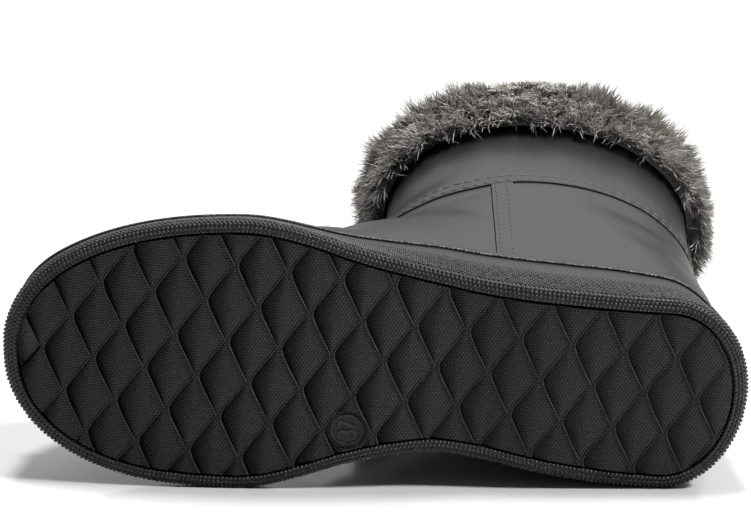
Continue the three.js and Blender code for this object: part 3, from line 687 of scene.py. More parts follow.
class Value:
    """Number that varies over a surface. Sums of it are built as math nodes."""

    def __init__(self, surface, socket):
        self.surface = surface
        self.socket = socket

    def math(self, operation, *others):
        inputs = {k: value for k, value in enumerate((self,) + others)}
        return self.surface.node("ShaderNodeMath", {"operation": operation}, inputs)

    def __add__(self, other):
        return self.math("ADD", other)

    __radd__ = __add__

    def __sub__(self, other):
        return self.math("SUBTRACT", other)

    def __rsub__(self, other):
        return (self * -1) + other

    def __mul__(self, other):
        return self.math("MULTIPLY", other)

    __rmul__ = __mul__

    def __truediv__(self, other):
        return self.math("DIVIDE", other)

    def __rtruediv__(self, other):
        return self.surface.node("ShaderNodeMath", {"operation": "DIVIDE"}, {0: other, 1: self})

    def floor(self):
        return self.math("FLOOR")

    def fraction(self):
        return self.math("FRACT")

    def least(self, other):
        return self.math("MINIMUM", other)

    def most(self, other):
        return self.math("MAXIMUM", other)

    def ramp(self, low, high):
        """Smooth step from 0 at low to 1 at high."""
        t = ((self - low) / (high - low)).most(0.0).least(1.0)
        return t * t * (3 - 2 * t)


class Surface:
    """Material built as nodes on one principled shader."""

    def __init__(self, name, **inputs):
        self.name = name
        self.material = bpy.data.materials.new(name)
        self.material.use_nodes = True
        self.tree = self.material.node_tree
        self.tree.nodes.clear()
        self.shader = self.tree.nodes.new("ShaderNodeBsdfPrincipled")
        output = self.tree.nodes.new("ShaderNodeOutputMaterial")
        self.tree.links.new(self.shader.outputs[0], output.inputs[0])
        self.shade(**inputs)

    def shade(self, **inputs):
        """Sets inputs of the shader, named with _ for each space."""
        for key, value in inputs.items():
            self.feed(self.shader.inputs[key.replace("_", " ")], value)

    def feed(self, socket, value):
        if isinstance(value, Value):
            self.tree.links.new(value.socket, socket)
        else:
            socket.default_value = value

    def node(self, kind, settings=None, inputs=None, output=0):
        made = self.tree.nodes.new(kind)
        for key, value in (settings or {}).items():
            setattr(made, key, value)
        for key, value in (inputs or {}).items():
            self.feed(made.inputs[key], value)
        return Value(self, made.outputs[output])

    def place(self):
        """Place on the standing boot in millimetres, and its three parts."""
        whole = self.node("ShaderNodeAttribute", {"attribute_name": "place"}, output="Vector")
        split = self.node("ShaderNodeSeparateXYZ", inputs={0: whole}).socket.node
        return whole, *(Value(self, split.outputs[k]) for k in range(3))

    def number(self, name):
        return self.node("ShaderNodeAttribute", {"attribute_name": name}, output="Fac")

    def noise(self, vector, size, detail=3.0, rough=0.5):
        """Soft noise between 0 and 1 whose features measure about this many millimetres."""
        return self.node("ShaderNodeTexNoise", {"noise_dimensions": "3D"},
                         {"Vector": vector, "Scale": 1 / size, "Detail": detail, "Roughness": rough})

    def cells(self, vector, size):
        """Distance to the nearest of scattered points, in parts of their spacing."""
        return self.node("ShaderNodeTexVoronoi", {"feature": "F1"}, {"Vector": vector, "Scale": 1 / size})

    def stretched(self, vector, scale):
        return self.node("ShaderNodeVectorMath", {"operation": "MULTIPLY"}, {0: vector, 1: scale})

    def tint(self, share):
        """Colour between the material's darkest and its lightest."""
        dark, light = ((*colour, 1.0) for colour in COLOURS[self.name])
        mixed = self.node("ShaderNodeMix", {"data_type": "RGBA"}, {0: share, 6: dark, 7: light}, 2)
        self.shade(Base_Color=mixed)

    def relief(self, height, millimetres):
        """Bumps the surface by a height from 0 to 1 that stands for this many millimetres."""
        inputs = {"Height": height, "Distance": millimetres / 1000, "Strength": 1.0}
        self.shade(Normal=self.node("ShaderNodeBump", inputs=inputs))


def moulded_rubber():
    """Rubber of the cup, rim dots and wall: black, satin, faintly uneven, with painted light that makes the
    wall lighter towards its top.
    """
    made = Surface("moulded rubber", Specular_IOR_Level=0.4)
    place, _, _, z = made.place()
    patch = made.noise(place, 14.0)
    high = z.ramp(10.0, 18.0)
    grain = made.cells(place, 0.8) * high
    # Painted light: the colour is lighter towards the top of the wall, where it catches the overhead light;
    # the grain and gloss of that band are real.
    made.tint(patch * 0.4 + high * 0.6)
    made.shade(Roughness=0.42 + 0.1 * patch - 0.06 * high)
    made.relief(made.noise(place, 0.5, 2.0) * 0.3 + grain, 0.22)
    return made.material


def dot_rubber():
    """Rubber of the raised dots."""
    made = Surface("rubber of the dots", Specular_IOR_Level=0.45)
    shade = made.number("shade")
    made.tint(shade)
    made.shade(Roughness=0.36 + 0.14 * shade)
    return made.material


def tread_rubber():
    """Rubber of the tread: rows of tiny dots with a painted highlight, painted shade where it is deep, a
    painted highlight at the edges and lighter scuffs.
    """
    made = Surface("tread rubber", Specular_IOR_Level=0.16)
    place, x, y, _ = made.place()
    depth = made.number("depth")
    off = [x - SIZE_DISC[0], y - SIZE_DISC[1]]
    from_disc = off[0] * off[0] + off[1] * off[1]
    ring = SIZE_DISC_RING ** 2 / 4
    plain = 1 - from_disc.ramp(0.75 * SIZE_DISC_RING ** 2 / 4, ring)

    row = y / TREAD_DOT_ROW
    shift = (row.floor() / 2).fraction()
    across = row.fraction() - 0.5
    along = (x / TREAD_DOT_PITCH + shift).fraction() - 0.5
    oval = 1 - (along * along * 6.0 + across * across * 6.0)
    worn = made.noise(place, 16.0, 3.0)
    dots = oval.most(0.0) * (1.3 - worn) * (1 - plain)

    grain = made.noise(place, 0.45, 2.0)
    # Random flecks that vary the painted highlight on the tiny dots.
    dot_highlight_fleck = made.noise(place, 0.8, 2.0).ramp(0.35, 0.75)
    streak = made.noise(made.stretched(place, (0.35, 2.6, 0.3)), 4.0, 4.0, 0.65)
    scuffed = streak.ramp(0.6, 0.72) * made.noise(place, 30.0).ramp(0.45, 0.6)
    # Painted highlight: the colour is lighter along the raised bead at the scales' edges, where light
    # catches them.
    edge = 1 - depth.ramp(0.02, 0.1)
    # Painted shade: the colour darkens with depth into the scales' deep toe corners, where shade falls, and
    # less so inside the size ring.
    painted_recess_shade = 1 / (1 + 2.2 * (depth - SCALE_BEAD).most(0.0) * (1 - 0.8 * plain))
    # Painted highlight: the tiny dots are coloured lighter than the rubber round them; the scuffs and the
    # random wear are real.
    face = 0.18 + 0.16 * plain + dots * (0.4 + 0.7 * dot_highlight_fleck) + scuffed * 0.25 + worn * 0.12
    made.tint((face * painted_recess_shade + edge * 0.2).most(0.0).least(1.0))
    made.shade(Roughness=0.55 + 0.14 * worn + 0.08 * scuffed)
    made.relief(dots + 0.3 * grain, 0.9)
    return made.material


def black_leather():
    """Smooth black leather with a fine pebbled grain."""
    made = Surface("black leather", Specular_IOR_Level=0.42, Coat_Weight=0.12, Coat_Roughness=0.2)
    place, *_ = made.place()
    pebble = made.cells(place, 1.15)
    fine = made.cells(place, 0.55)
    soft = made.noise(place, 18.0)
    made.tint(soft)
    made.shade(Roughness=0.28 + 0.12 * soft + 0.1 * pebble)
    made.relief(1 - pebble * 0.7 - fine * 0.3, 0.1)
    return made.material


def stitch_thread():
    return Surface("black thread", Base_Color=(0.03, 0.03, 0.031, 1), Roughness=0.6).material


def fleece(name, size):
    """Short curly fleece, its curls about this many millimetres wide."""
    made = Surface(name, Roughness=0.95, Sheen_Weight=0.35, Sheen_Roughness=0.5)
    place, *_ = made.place()
    curl = made.noise(place, size, 4.0, 0.7)
    made.tint(curl * 0.7 + made.noise(place, 9.0) * 0.4)
    made.relief(curl, 1.1)
    return made.material


def fur_hair():
    """Mottled grey hairs, each with a shade of its own."""
    made = Surface("grey fur", Roughness=0.7, Specular_IOR_Level=0.3, Sheen_Weight=0.25)
    made.tint(made.number("shade"))
    return made.material


def euler_from(axis_z, axis_x):
    """Euler angles that turn z to one direction and x towards another."""
    z = axis_z / np.linalg.norm(axis_z, axis=1, keepdims=True)
    x = axis_x - z * np.sum(axis_x * z, 1, keepdims=True)
    x /= np.maximum(np.linalg.norm(x, axis=1, keepdims=True), 1e-9)
    y = np.cross(z, x)
    angle_y = np.arcsin(np.clip(-x[:, 2], -1, 1))
    angle_x = np.arctan2(y[:, 2], z[:, 2])
    angle_z = np.arctan2(x[:, 1], x[:, 0])
    return np.stack([angle_x, angle_y, angle_z], 1)


def scatter_tree():
    """Node tree that puts a shape on every point, turned and sized by the point's own values."""
    tree = bpy.data.node_groups.new("shapes on points", "GeometryNodeTree")
    for name, way, kind in (("Points", "INPUT", "Geometry"), ("Shape", "INPUT", "Object"),
                            ("Material", "INPUT", "Material"), ("Shapes", "OUTPUT", "Geometry")):
        tree.interface.new_socket(name=name, in_out=way, socket_type=f"NodeSocket{kind}")
    new = tree.nodes.new
    given = new("NodeGroupInput")
    result = new("NodeGroupOutput")
    shape = new("GeometryNodeObjectInfo")
    turn = new("GeometryNodeInputNamedAttribute")
    size = new("GeometryNodeInputNamedAttribute")
    rotation = new("FunctionNodeEulerToRotation")
    instances = new("GeometryNodeInstanceOnPoints")
    real = new("GeometryNodeRealizeInstances")
    paint = new("GeometryNodeSetMaterial")
    for node, name in ((turn, "turn"), (size, "size")):
        node.data_type = "FLOAT_VECTOR"
        node.inputs["Name"].default_value = name
    for source, output, target, entry in (
        (given, "Points", instances, "Points"),
        (given, "Shape", shape, "Object"),
        (shape, "Geometry", instances, "Instance"),
        (turn, 0, rotation, 0),
        (rotation, 0, instances, "Rotation"),
        (size, 0, instances, "Scale"),
        (instances, 0, real, 0),
        (real, 0, paint, "Geometry"),
        (given, "Material", paint, "Material"),
        (paint, 0, result, 0),
    ):
        tree.links.new(source.outputs[output], target.inputs[entry])
    return tree


SCATTER = scatter_tree()


def scatter(name, places, outward, along, sizes, shades, shape, material):
    """Mesh with a copy of a shape on every place. Places and directions are in the standing frame."""
    points = bpy.data.meshes.new(name)
    points.from_pydata(to_row(places).tolist(), [], [])
    store(points, "turn", euler_from(to_row_direction(outward), to_row_direction(along)))
    store(points, "size", sizes)
    store(points, "shade", shades)
    carrier = shown(name, points)
    source = shown("shape", shape)
    change = carrier.modifiers.new("shapes", "NODES")
    change.node_group = SCATTER
    for item in SCATTER.interface.items_tree:
        if item.name in ("Shape", "Material"):
            change[item.identifier] = source if item.name == "Shape" else material
    bpy.context.view_layer.update()
    mesh = plain_copy(name, carrier)
    bpy.data.objects.remove(source)
    return mesh


def small_shape(name, points, faces):
    mesh = bpy.data.meshes.new(name)
    mesh.from_pydata(points, [], faces)
    return smooth(mesh)


def dome(sides=6):
    """Low dome of unit radius and unit height, closed underneath."""
    angle = 2 * np.pi * np.arange(sides) / sides
    ring = lambda radius, height: [(radius * math.cos(a), radius * math.sin(a), height) for a in angle]
    points = ring(1.0, -0.2) + ring(0.72, 0.68) + [(0.0, 0.0, 1.0), (0.0, 0.0, -0.2)]
    faces = []
    for k in range(sides):
        n = (k + 1) % sides
        faces += [[k, n, sides + n, sides + k], [sides + k, sides + n, 2 * sides], [n, k, 2 * sides + 1]]
    return small_shape("dot", points, faces)


def wall_surface(v, phase):
    """Ring of the cup's outside at a distance v from the tread groove: over the rim, edge and wall."""
    if v < RIM_FLAT:
        inset, rise = RIM_WIDTH - v, 0.0
        shift = (0.0, DOT_BASE)
    elif v < RIM_FLAT + EDGE_BEND:
        angle = (v - RIM_FLAT) / EDGE_RADIUS
        inset, rise = EDGE_RADIUS * (1 - math.sin(angle)), EDGE_RADIUS * (1 - math.cos(angle))
        shift = (DOT_BASE * math.sin(angle), DOT_BASE * math.cos(angle))
    else:
        inset, rise = 0.0, EDGE_RADIUS + v - RIM_FLAT - EDGE_BEND
        shift = (DOT_BASE, 0.0)
    ring = closed(wall_ring(inset + shift[0], even(rise + shift[1]), 500))
    length = arc_lengths(ring)
    at = (np.arange(DOTS_ROUND) + phase) / DOTS_ROUND % 1 * length[-1]
    return at_lengths(at, length, ring), rise


def dot_field(first, last, seed):
    """Places, directions and sizes of the staggered dots between two distances from the groove."""
    rng = np.random.default_rng(seed)
    rows = []
    row = math.ceil(first / DOT_ROW)
    while row * DOT_ROW < last:
        v = FIRST_DOT_ROW + row * DOT_ROW
        phase = 0.5 * (row % 2)
        ring, rise = wall_surface(v, phase)
        ahead = wall_surface(v, phase + 0.1)[0] - ring
        above, below = (wall_surface(v + step, phase)[0] for step in (0.1, -0.1))
        outward = unit(np.cross(above - below, ahead))
        keep = rise + DOT_MARGIN < np.minimum(wall_height(ring[:, 0]) - LIP_HEIGHT, DOTS_TOP)
        fade = np.full(len(ring), 1 - DOT_FADE * float(smooth_step(0.4 * DOTS_TOP, DOTS_TOP, rise)))
        rows.append([part[keep] for part in (ring, outward, ahead, fade)])
        row += 1
    places, outward, along, fade = (np.concatenate(part) for part in zip(*rows))
    number = len(places)
    spread = ((DOT_RADIUS, 0.92, 1.08), (DOT_RADIUS, 0.88, 1.04), (DOT_RISE, 0.8, 1.15))
    sizes = [size * fade * rng.uniform(least, most, number) for size, least, most in spread]
    return places, outward, along, np.stack(sizes, 1) / 1000, rng.uniform(0, 1, number)


def sole_cup():
    """Cup sole with a rounded edge, leaning wall, stepped lip, hollow and tread seat."""
    base, round_edge = DOT_BASE, EDGE_RADIUS - DOT_BASE
    under_lip = lambda x: wall_height(x) - LIP_HEIGHT
    rings = [wall_ring(EDGE_RADIUS + base, even(base))]
    for k in range(1, 8):
        angle = math.pi / 2 * k / 7
        rise = EDGE_RADIUS - round_edge * math.cos(angle)
        rings.append(wall_ring(EDGE_RADIUS - round_edge * math.sin(angle), even(rise)))
    for k in range(1, 8):
        rings.append(wall_ring(base, lambda x: mix(EDGE_RADIUS, under_lip(x), k / 7)))
    for out, drop in ((-0.35 * LIP_STEP, -0.06), (-0.8 * LIP_STEP, 0.14), (-LIP_STEP, 0.45)):
        rings.append(wall_ring(out, lambda x: under_lip(x) + drop))
    for out, drop in ((-LIP_STEP, 0.9), (-0.8 * LIP_STEP, 0.4), (-0.35 * LIP_STEP, 0.1), (LIP_STEP, 0.0)):
        rings.append(wall_ring(out, lambda x: wall_height(x) - drop))
    body = mesh_of("sole cup", stack(rings))
    hollow = mesh_of("hollow", upper_form(CLEARANCE))
    seat = plan_block("seat", RIM_WIDTH, over_sole(-TREAD_THICKNESS), over_sole(TREAD_THICKNESS + CLEARANCE))
    return combine("sole cup", body, ("DIFFERENCE", hollow), ("DIFFERENCE", seat))


def lattice_place(along, across):
    """Place of a lattice corner of the scales."""
    back = along * SCALE_LENGTH / 2
    side = across * SCALE_WIDTH / 2
    return (
        LATTICE_START[0] - back * math.cos(SCALE_TURN) + side * math.sin(SCALE_TURN),
        LATTICE_START[1] - back * math.sin(SCALE_TURN) - side * math.cos(SCALE_TURN),
    )


def scale_depth(x):
    return mix(HEEL_SCALE_DEPTH, BALL_SCALE_DEPTH, smooth_step(0.3 * SOLE_LENGTH, 0.6 * SOLE_LENGTH, x))


def scale_edge(v):
    """Toe edge of a scale: how far behind its corner it lies at a share of the half width."""
    e = SCALE_CORNER
    return SCALE_LENGTH / 2 * (np.sqrt(v * v + e * e) - math.sqrt(1 + e * e) + 1)


def scale_slab():
    """Overlapping scales: each is flat over its heel half and slopes in to a deep rounded toe corner."""
    beyond, aside = 22, 72
    columns = np.linspace(-1, 1, 25)
    toe_edge = scale_edge(columns)
    heel_edge = SCALE_LENGTH / 2 + scale_edge(1 - np.abs(columns))
    from_toe = (0.0, 0.2, 0.6)
    from_heel = (1.2, 0.85, 0.6, 0.42, 0.28, 0.13, 0.0)
    between = (0.1, 0.22, 0.36, 0.52, 0.72)
    rows = [toe_edge + value for value in from_toe]
    rows += [mix(toe_edge + from_toe[-1], heel_edge - from_heel[0], share) for share in between]
    rows += [heel_edge - value for value in from_heel]
    tall, wide = len(rows), len(columns)
    narrow = heel_edge - toe_edge < 2.0
    evenly = mix(toe_edge, heel_edge, np.linspace(0, 1, tall)[:, None])
    s = np.where(narrow, evenly, np.array(rows))
    near = heel_edge - s
    slope = np.clip(1 - 2 * s / SCALE_LENGTH, 0, 1)
    at_edge = np.clip(1 - 2 * toe_edge / SCALE_LENGTH, 0.001, 1)
    sunk = at_edge ** SCALE_FALL * (slope / at_edge) ** SCALE_BEND
    swell = lambda at, width: np.exp(-(((near - at) / width) ** 2)) * (slope <= 0)
    bead = SCALE_BEAD * swell(0.28, 0.2) - SCALE_CREASE * swell(0.85, 0.25)
    cos, sin = math.cos(SCALE_TURN), math.sin(SCALE_TURN)
    side = np.broadcast_to(-columns * SCALE_WIDTH / 2, s.shape)
    k = np.arange((tall - 1) * wide).reshape(tall - 1, wide)[:, :-1].ravel()
    patch = np.stack([k, k + 1, k + wide + 1, k + wide], 1)
    rim = tall * wide
    c = np.arange(wide - 1)
    step = np.stack([rim + c, rim + c + 1, c + 1, c], 1)
    back = patch[:, ::-1] + rim + wide
    block = np.concatenate([patch, step, back])
    points, faces = [], []
    size = 0
    for a in range(-2, math.ceil(2 * SOLE_LENGTH / SCALE_LENGTH)):
        for b in range(-6, 7):
            corner = lattice_place(a, b)
            there = -beyond < corner[0] < SOLE_LENGTH + beyond and abs(corner[1]) <= aside
            if (a + b) % 2 or not there:
                continue
            x = corner[0] - s * cos + side * sin
            y = corner[1] - s * sin - side * cos
            low = underside(x)
            depth = SCALE_BEAD + sunk * scale_depth(corner[0]) - bead
            edge = low[0] + SCALE_BEAD - bead[-1, 0]
            points += [
                np.stack([x, y, low + depth], 2).reshape(-1, 3),
                np.stack([x[0], y[0], edge], 1),
                np.stack([x, y, low + 2 * TREAD_THICKNESS], 2).reshape(-1, 3),
            ]
            faces.append(block + size)
            size += 2 * rim + wide
    points, faces = weld(np.concatenate(points), np.concatenate(faces).tolist())
    return points, faces + slab_sides(points, faces)


def slab_sides(points, faces):
    """Upright faces that close the slab all round, between its front and back edges."""
    used = {}
    for face in faces:
        for i, j in zip(face, face[1:] + face[:1]):
            used[(i, j)] = used.get((i, j), 0) + 1
    loose = [pair for pair in used if (pair[1], pair[0]) not in used]
    height = points[:, 2] - underside(points[:, 0])
    spot = lambda k: tuple(np.round(points[k, :2], 3))
    behind = {spot(i): i for pair in loose for i in pair if height[i] > TREAD_THICKNESS}
    return [
        [j, i, *dict.fromkeys((behind[spot(i)], behind[spot(j)]))]
        for i, j in loose if height[i] < TREAD_THICKNESS
    ]


def disc(x, y, low, high, diameter, sides=64):
    """Upright cylinder."""
    angle = 2 * np.pi * np.arange(sides) / sides
    ring = lambda z: np.stack([x + np.cos(angle) * diameter / 2, y + np.sin(angle) * diameter / 2,
                               np.full(sides, z)], 1)
    return stack([ring(low), ring(high)])


def stroke(path, width, low, high):
    """Upright wall of even width along a path."""
    path = np.array(path, float)
    ahead = unit(np.gradient(path, axis=0))
    aside = np.stack([-ahead[:, 1], ahead[:, 0]], 1) * width / 2
    ring = np.concatenate([path + aside, (path - aside)[::-1]])
    count, half = len(ring), len(path)
    points = np.concatenate([np.column_stack([ring, np.full(count, z)]) for z in (low, high)])
    faces = bands(2, count)
    for k in range(half - 1):
        quad = [k, k + 1, count - k - 2, count - k - 1]
        faces += [quad[::-1], [count + i for i in quad]]
    return points, faces


def size_digits(low, high):
    """Plain digits 3 and 7, which read from the inner to the outer side with their heads to the toe."""
    turn = lambda cx, cy, radius, first, last: [
        (cx + radius * math.cos(math.radians(a)), cy + radius * math.sin(math.radians(a)))
        for a in np.linspace(first, last, 22)
    ]
    shapes = [
        turn(-1.9, 1.45, 1.35, 150, -88),
        turn(-1.9, -1.5, 1.6, 88, -150),
        [(0.6, 2.8), (1.7, 2.8), (3.3, 2.8)],
        [(3.1, 2.9), (2.4, 0.9), (1.7, -1.1), (1.3, -3.1)],
    ]
    place = lambda right, up: (SIZE_DISC[0] + up, SIZE_DISC[1] + right)
    return [stroke([place(*point) for point in shape], DIGIT_STROKE, low, high) for shape in shapes]


def tread_plate():
    """Scales cut to the panel, with the size disc, its ring and digits, and the moulding nub."""
    x, y = SIZE_DISC
    face = underside(x) + SIZE_DISC_DEPTH
    middle = underside(x) + TREAD_THICKNESS / 2 + BALL_SCALE_DEPTH / 2
    nub_face = underside(NUB[0]) + CLEARANCE
    ring = combine(
        "ring",
        mesh_of("ring", disc(x, y, face - RING_ROOT, face + MARK_RISE, SIZE_DISC_RING)),
        ("DIFFERENCE", mesh_of("hole", disc(x, y, face - 1, face + 1, RING_HOLE))),
    )
    steps = [
        ("UNION", mesh_of("boss", disc(x, y, face, middle, SIZE_DISC_DIAMETER))),
        ("DIFFERENCE", mesh_of("clear", disc(x, y, face - TREAD_THICKNESS, face, SIZE_DISC_DIAMETER))),
        ("UNION", ring),
        ("UNION", mesh_of("nub", disc(*NUB, nub_face, middle, NUB_DIAMETER, 24))),
    ]
    digits = size_digits(face - DIGIT_ROOT, face + MARK_RISE)
    steps += [("UNION", mesh_of("digit", form)) for form in digits]
    surfaces = (over_sole(rise) for rise in (-TREAD_THICKNESS, TREAD_THICKNESS))
    panel = plan_block("panel", RIM_WIDTH + PANEL_INSET, *surfaces)
    return combine("tread plate", mesh_of("scales", scale_slab()), *steps, ("INTERSECT", panel))


# Creases of the leather as seen from the side: where each begins and ends (x and height), how wide and
# how deep it is, and on which side of the boot
CREASES = [
    (172, 78, 150, 52, 6.0, 1.1, "both"),
    (158, 86, 133, 56, 7.0, 1.3, "both"),
    (186, 70, 170, 50, 5.0, 0.8, "outer"),
    (181, 72, 160, 48, 5.5, 0.9, "inner"),
    (143, 101, 92, 96, 8.0, 1.5, "both"),
    (138, 112, 84, 112, 7.5, 1.2, "outer"),
    (136, 115, 88, 108, 7.5, 1.2, "inner"),
    (9, 92, 52, 104, 8.0, 1.4, "both"),
    (8, 76, 44, 80, 6.5, 1.0, "outer"),
    (8, 79, 40, 86, 6.5, 1.0, "inner"),
    (10, 112, 46, 122, 8.5, 1.1, "both"),
    (133, 132, 100, 136, 9.0, 1.0, "both"),
]


def creased(grid):
    """Upper's surface with soft troughs, each with a low ridge along it."""
    ahead = np.gradient(grid, axis=0)
    around = np.roll(grid, -1, axis=1) - np.roll(grid, 1, axis=1)
    out = unit(np.cross(around, ahead))
    middle = grid.mean(axis=1, keepdims=True)
    out *= np.sign(np.sum(out * (grid - middle), axis=2, keepdims=True))
    move = np.zeros(grid.shape[:2])
    for x1, z1, x2, z2, width, depth, side in CREASES:
        line = np.array([x2 - x1, z2 - z1], float)
        length = np.linalg.norm(line)
        line /= length
        off = grid[:, :, [0, 2]] - [x1, z1]
        along = off @ line
        bow = 0.035 * length * np.sin(np.pi * np.clip(along / length, 0, 1))
        across = off @ [-line[1], line[0]] - bow
        fade = smooth_step(-0.35, 0.12, along / length) * (1 - smooth_step(0.6, 1.15, along / length))
        if side != "both":
            fade = fade * ((grid[:, :, 1] > 0) == (side == "outer"))
            fade = fade * smooth_step(0, 12, np.abs(grid[:, :, 1]))
        trough = np.exp(-((across / width) ** 2))
        ridge = 0.55 * np.exp(-(((across - 1.7 * width) / (1.1 * width)) ** 2))
        move += depth * fade * (ridge - trough)
    above = grid[:, :, 2] - underside(grid[:, :, 0]) - wall_height(grid[:, :, 0])
    move *= smooth_step(1.0, 14.0, above) * (1 - smooth_step(150, 165, grid[:, :, 2]))
    return grid + out * np.minimum(move, 0.0)[:, :, None] + out * np.maximum(move, 0.0)[:, :, None] * 0.6


def box(low, high):
    """Upright box in the standing frame."""
    x, y, z = zip(low, high)
    corners = ((0, 0), (1, 0), (1, 1), (0, 1))
    points = np.array([(x[i], y[j], z[k]) for k in (0, 1) for i, j in corners], float)
    return points, [[3, 2, 1, 0], [4, 5, 6, 7]] + bands(2, 4)


def leather_pieces():
    """Upper, counter and shaft: one hollow wall parted at its seams, with a lapped band along each seam."""
    far = 3 * BOOT_HEIGHT
    parts = {
        "upper": ((COUNTER_SEAM + CLEARANCE, -far, -far), (far, far, SHAFT_SEAM_HEIGHT)),
        "counter": ((-far, -far, -far), (COUNTER_SEAM, far, SHAFT_SEAM_HEIGHT)),
        "shaft": ((-far, -far, SHAFT_SEAM_HEIGHT + CLEARANCE), (far, far, far)),
    }
    lapped = {
        "counter": ((COUNTER_SEAM - SEAM_BAND, -far, -far), (COUNTER_SEAM, far, SHAFT_SEAM_HEIGHT)),
        "shaft": ((-far, -far, SHAFT_SEAM_HEIGHT + CLEARANCE), (far, far, SHAFT_SEAM_HEIGHT + SEAM_BAND)),
    }
    outside = mesh_of("outside", upper_form(0, -CLEARANCE, shape=creased))
    raised = mesh_of("raised", upper_form(SEAM_LAP, -CLEARANCE, shape=creased))
    inside = mesh_of("inside", upper_form(-LEATHER, HEEL_BED_HEIGHT / 2, CUFF_HEIGHT))
    over_lip = lambda x: lip_top(x) + CLEARANCE
    above_lip = plan_block("above lip", -2 * SIDE_WALL, over_lip, even(2 * BOOT_HEIGHT))
    made = {}
    for name, corners in parts.items():
        wall = combine(name, outside.copy(), ("DIFFERENCE", inside.copy()))
        wall = combine(name, wall, ("INTERSECT", mesh_of("part", box(*corners))))
        if name in lapped:
            part = mesh_of("part", box(*lapped[name]))
            band = combine("band", raised.copy(), ("DIFFERENCE", inside.copy()),
                           ("INTERSECT", above_lip.copy()), ("INTERSECT", part))
            wall = combine(name, wall, ("UNION", band))
        made[name] = wall
    return made


def lining():
    """Fleece that lines the leather from the insole to the fur."""
    outside = mesh_of("lining", upper_form(-LEATHER - CLEARANCE, -INSOLE_THICKNESS - 1))
    inside = mesh_of("inside", upper_form(-LEATHER - LINING, HEEL_BED_HEIGHT / 2, CUFF_HEIGHT))
    over = plan_block("over", -40, even(BOOT_HEIGHT - 0.78 * CUFF_HEIGHT), even(2 * BOOT_HEIGHT), 30)
    return combine("lining", outside, ("DIFFERENCE", inside), ("DIFFERENCE", over))


def insole():
    """Fleece covered insole inside the upper's edge."""
    inset = lambda x: SIDE_WALL + LEATHER + lean_in(x, bed_top(x) - underside(x))
    rings = [plan_ring(inset, lambda x: bed_top(x) + CLEARANCE)]
    for k in range(4):
        angle = math.pi / 2 * k / 3
        rings.append(plan_ring(
            lambda x: inset(x) + 1 - math.cos(angle),
            lambda x: bed_top(x) + CLEARANCE + INSOLE_THICKNESS - 1 + math.sin(angle),
        ))
    within = mesh_of("within", upper_form(-LEATHER - CLEARANCE, HEEL_BED_HEIGHT / 2))
    return combine("insole", mesh_of("insole", stack(rings)), ("INTERSECT", within))


def cord_along(line):
    """Raised seam of half round section along a line in the boot's middle plane."""
    ahead = unit(np.gradient(line, axis=0))
    angle = np.linspace(0, np.pi, 9)
    across = np.concatenate([np.cos(angle) * SEAM_WIDTH / 2, [-0.25 * SEAM_WIDTH, 0.25 * SEAM_WIDTH]])
    lift = np.concatenate([np.sin(angle) * SEAM_RISE, [0.0, 0.0]])
    rings = [
        np.stack([p[0] + out[0] * lift, across, p[1] + out[1] * lift], 1)
        for p, out in zip(line, np.stack([ahead[:, 1], -ahead[:, 0]], 1))
    ]
    return np.concatenate(rings), tube_faces(len(rings), len(across))


def front_seam_line(offset):
    """Front line of the upper between the lip and the cuff, moved out by an offset."""
    half = 8
    line = upper_grid(offset, points=half)[:, half, [0, 2]]
    keep = (line[:, 1] > lip_top(line[:, 0]) + CLEARANCE) & (line[:, 1] < SEAM_TOP)
    length = arc_lengths(line[keep])
    return at_lengths(np.arange(0, length[-1], SEAM_STEP), length, line[keep])


def back_seam_line(offset):
    """Back line of the upper between the lip and the cuff, moved out by an offset."""
    z = np.arange(float(lip_top(0.0)) + 0.5, SEAM_TOP, SEAM_STEP)[::-1]
    return np.stack([back_line(z) - offset, z], 1)


def capsule(sides=6):
    """Stitch of unit length along x, lying on z = 0."""
    angle = 2 * np.pi * np.arange(sides) / sides
    rings = [(-0.5, 0.45), (-0.32, 0.9), (0.0, 1.0), (0.32, 0.9), (0.5, 0.45)]
    points = [(x, r * math.cos(a) * 0.17, r * math.sin(a) * 0.12) for x, r in rings for a in angle]
    return small_shape("stitch", points, tube_faces(len(rings), sides))


# Section of the fur cuff: distance out from the leather, height from the collar edge, and how furry
CUFF_SECTION = [
    (2 * CLEARANCE, -0.94 * CUFF_HEIGHT, 0.0),
    (0.7 * CUFF_THICKNESS, -CUFF_HEIGHT, 0.5),
    (CUFF_THICKNESS, -0.75 * CUFF_HEIGHT, 1.0),
    (CUFF_THICKNESS, -0.35 * CUFF_HEIGHT, 1.0),
    (0.75 * CUFF_THICKNESS, 0.05 * CUFF_HEIGHT, 1.0),
    (-0.5 * LEATHER, 0.25 * CUFF_HEIGHT, 0.7),
    (-LEATHER - 0.75 * CUFF_THICKNESS, 0.05 * CUFF_HEIGHT, 0.6),
    (-LEATHER - CUFF_THICKNESS, -0.4 * CUFF_HEIGHT, 0.4),
    (-LEATHER - 0.6 * CUFF_THICKNESS, -0.8 * CUFF_HEIGHT, 0.2),
    (-LEATHER - 3 * CLEARANCE, -0.75 * CUFF_HEIGHT, 0.0),
    (-LEATHER - 3 * CLEARANCE, CLEARANCE, 0.0),
    (2 * CLEARANCE, CLEARANCE, 0.0),
]
# Place on the section where the cuff turns over to the inside
CUFF_TOP = 5
# Rows of locks: height from the collar edge and distance out, as shares, and how many stand round
LOCK_ROWS = [(-0.6, 0.8, 18), (-0.3, 0.85, 19), (0.02, 0.6, 17)]

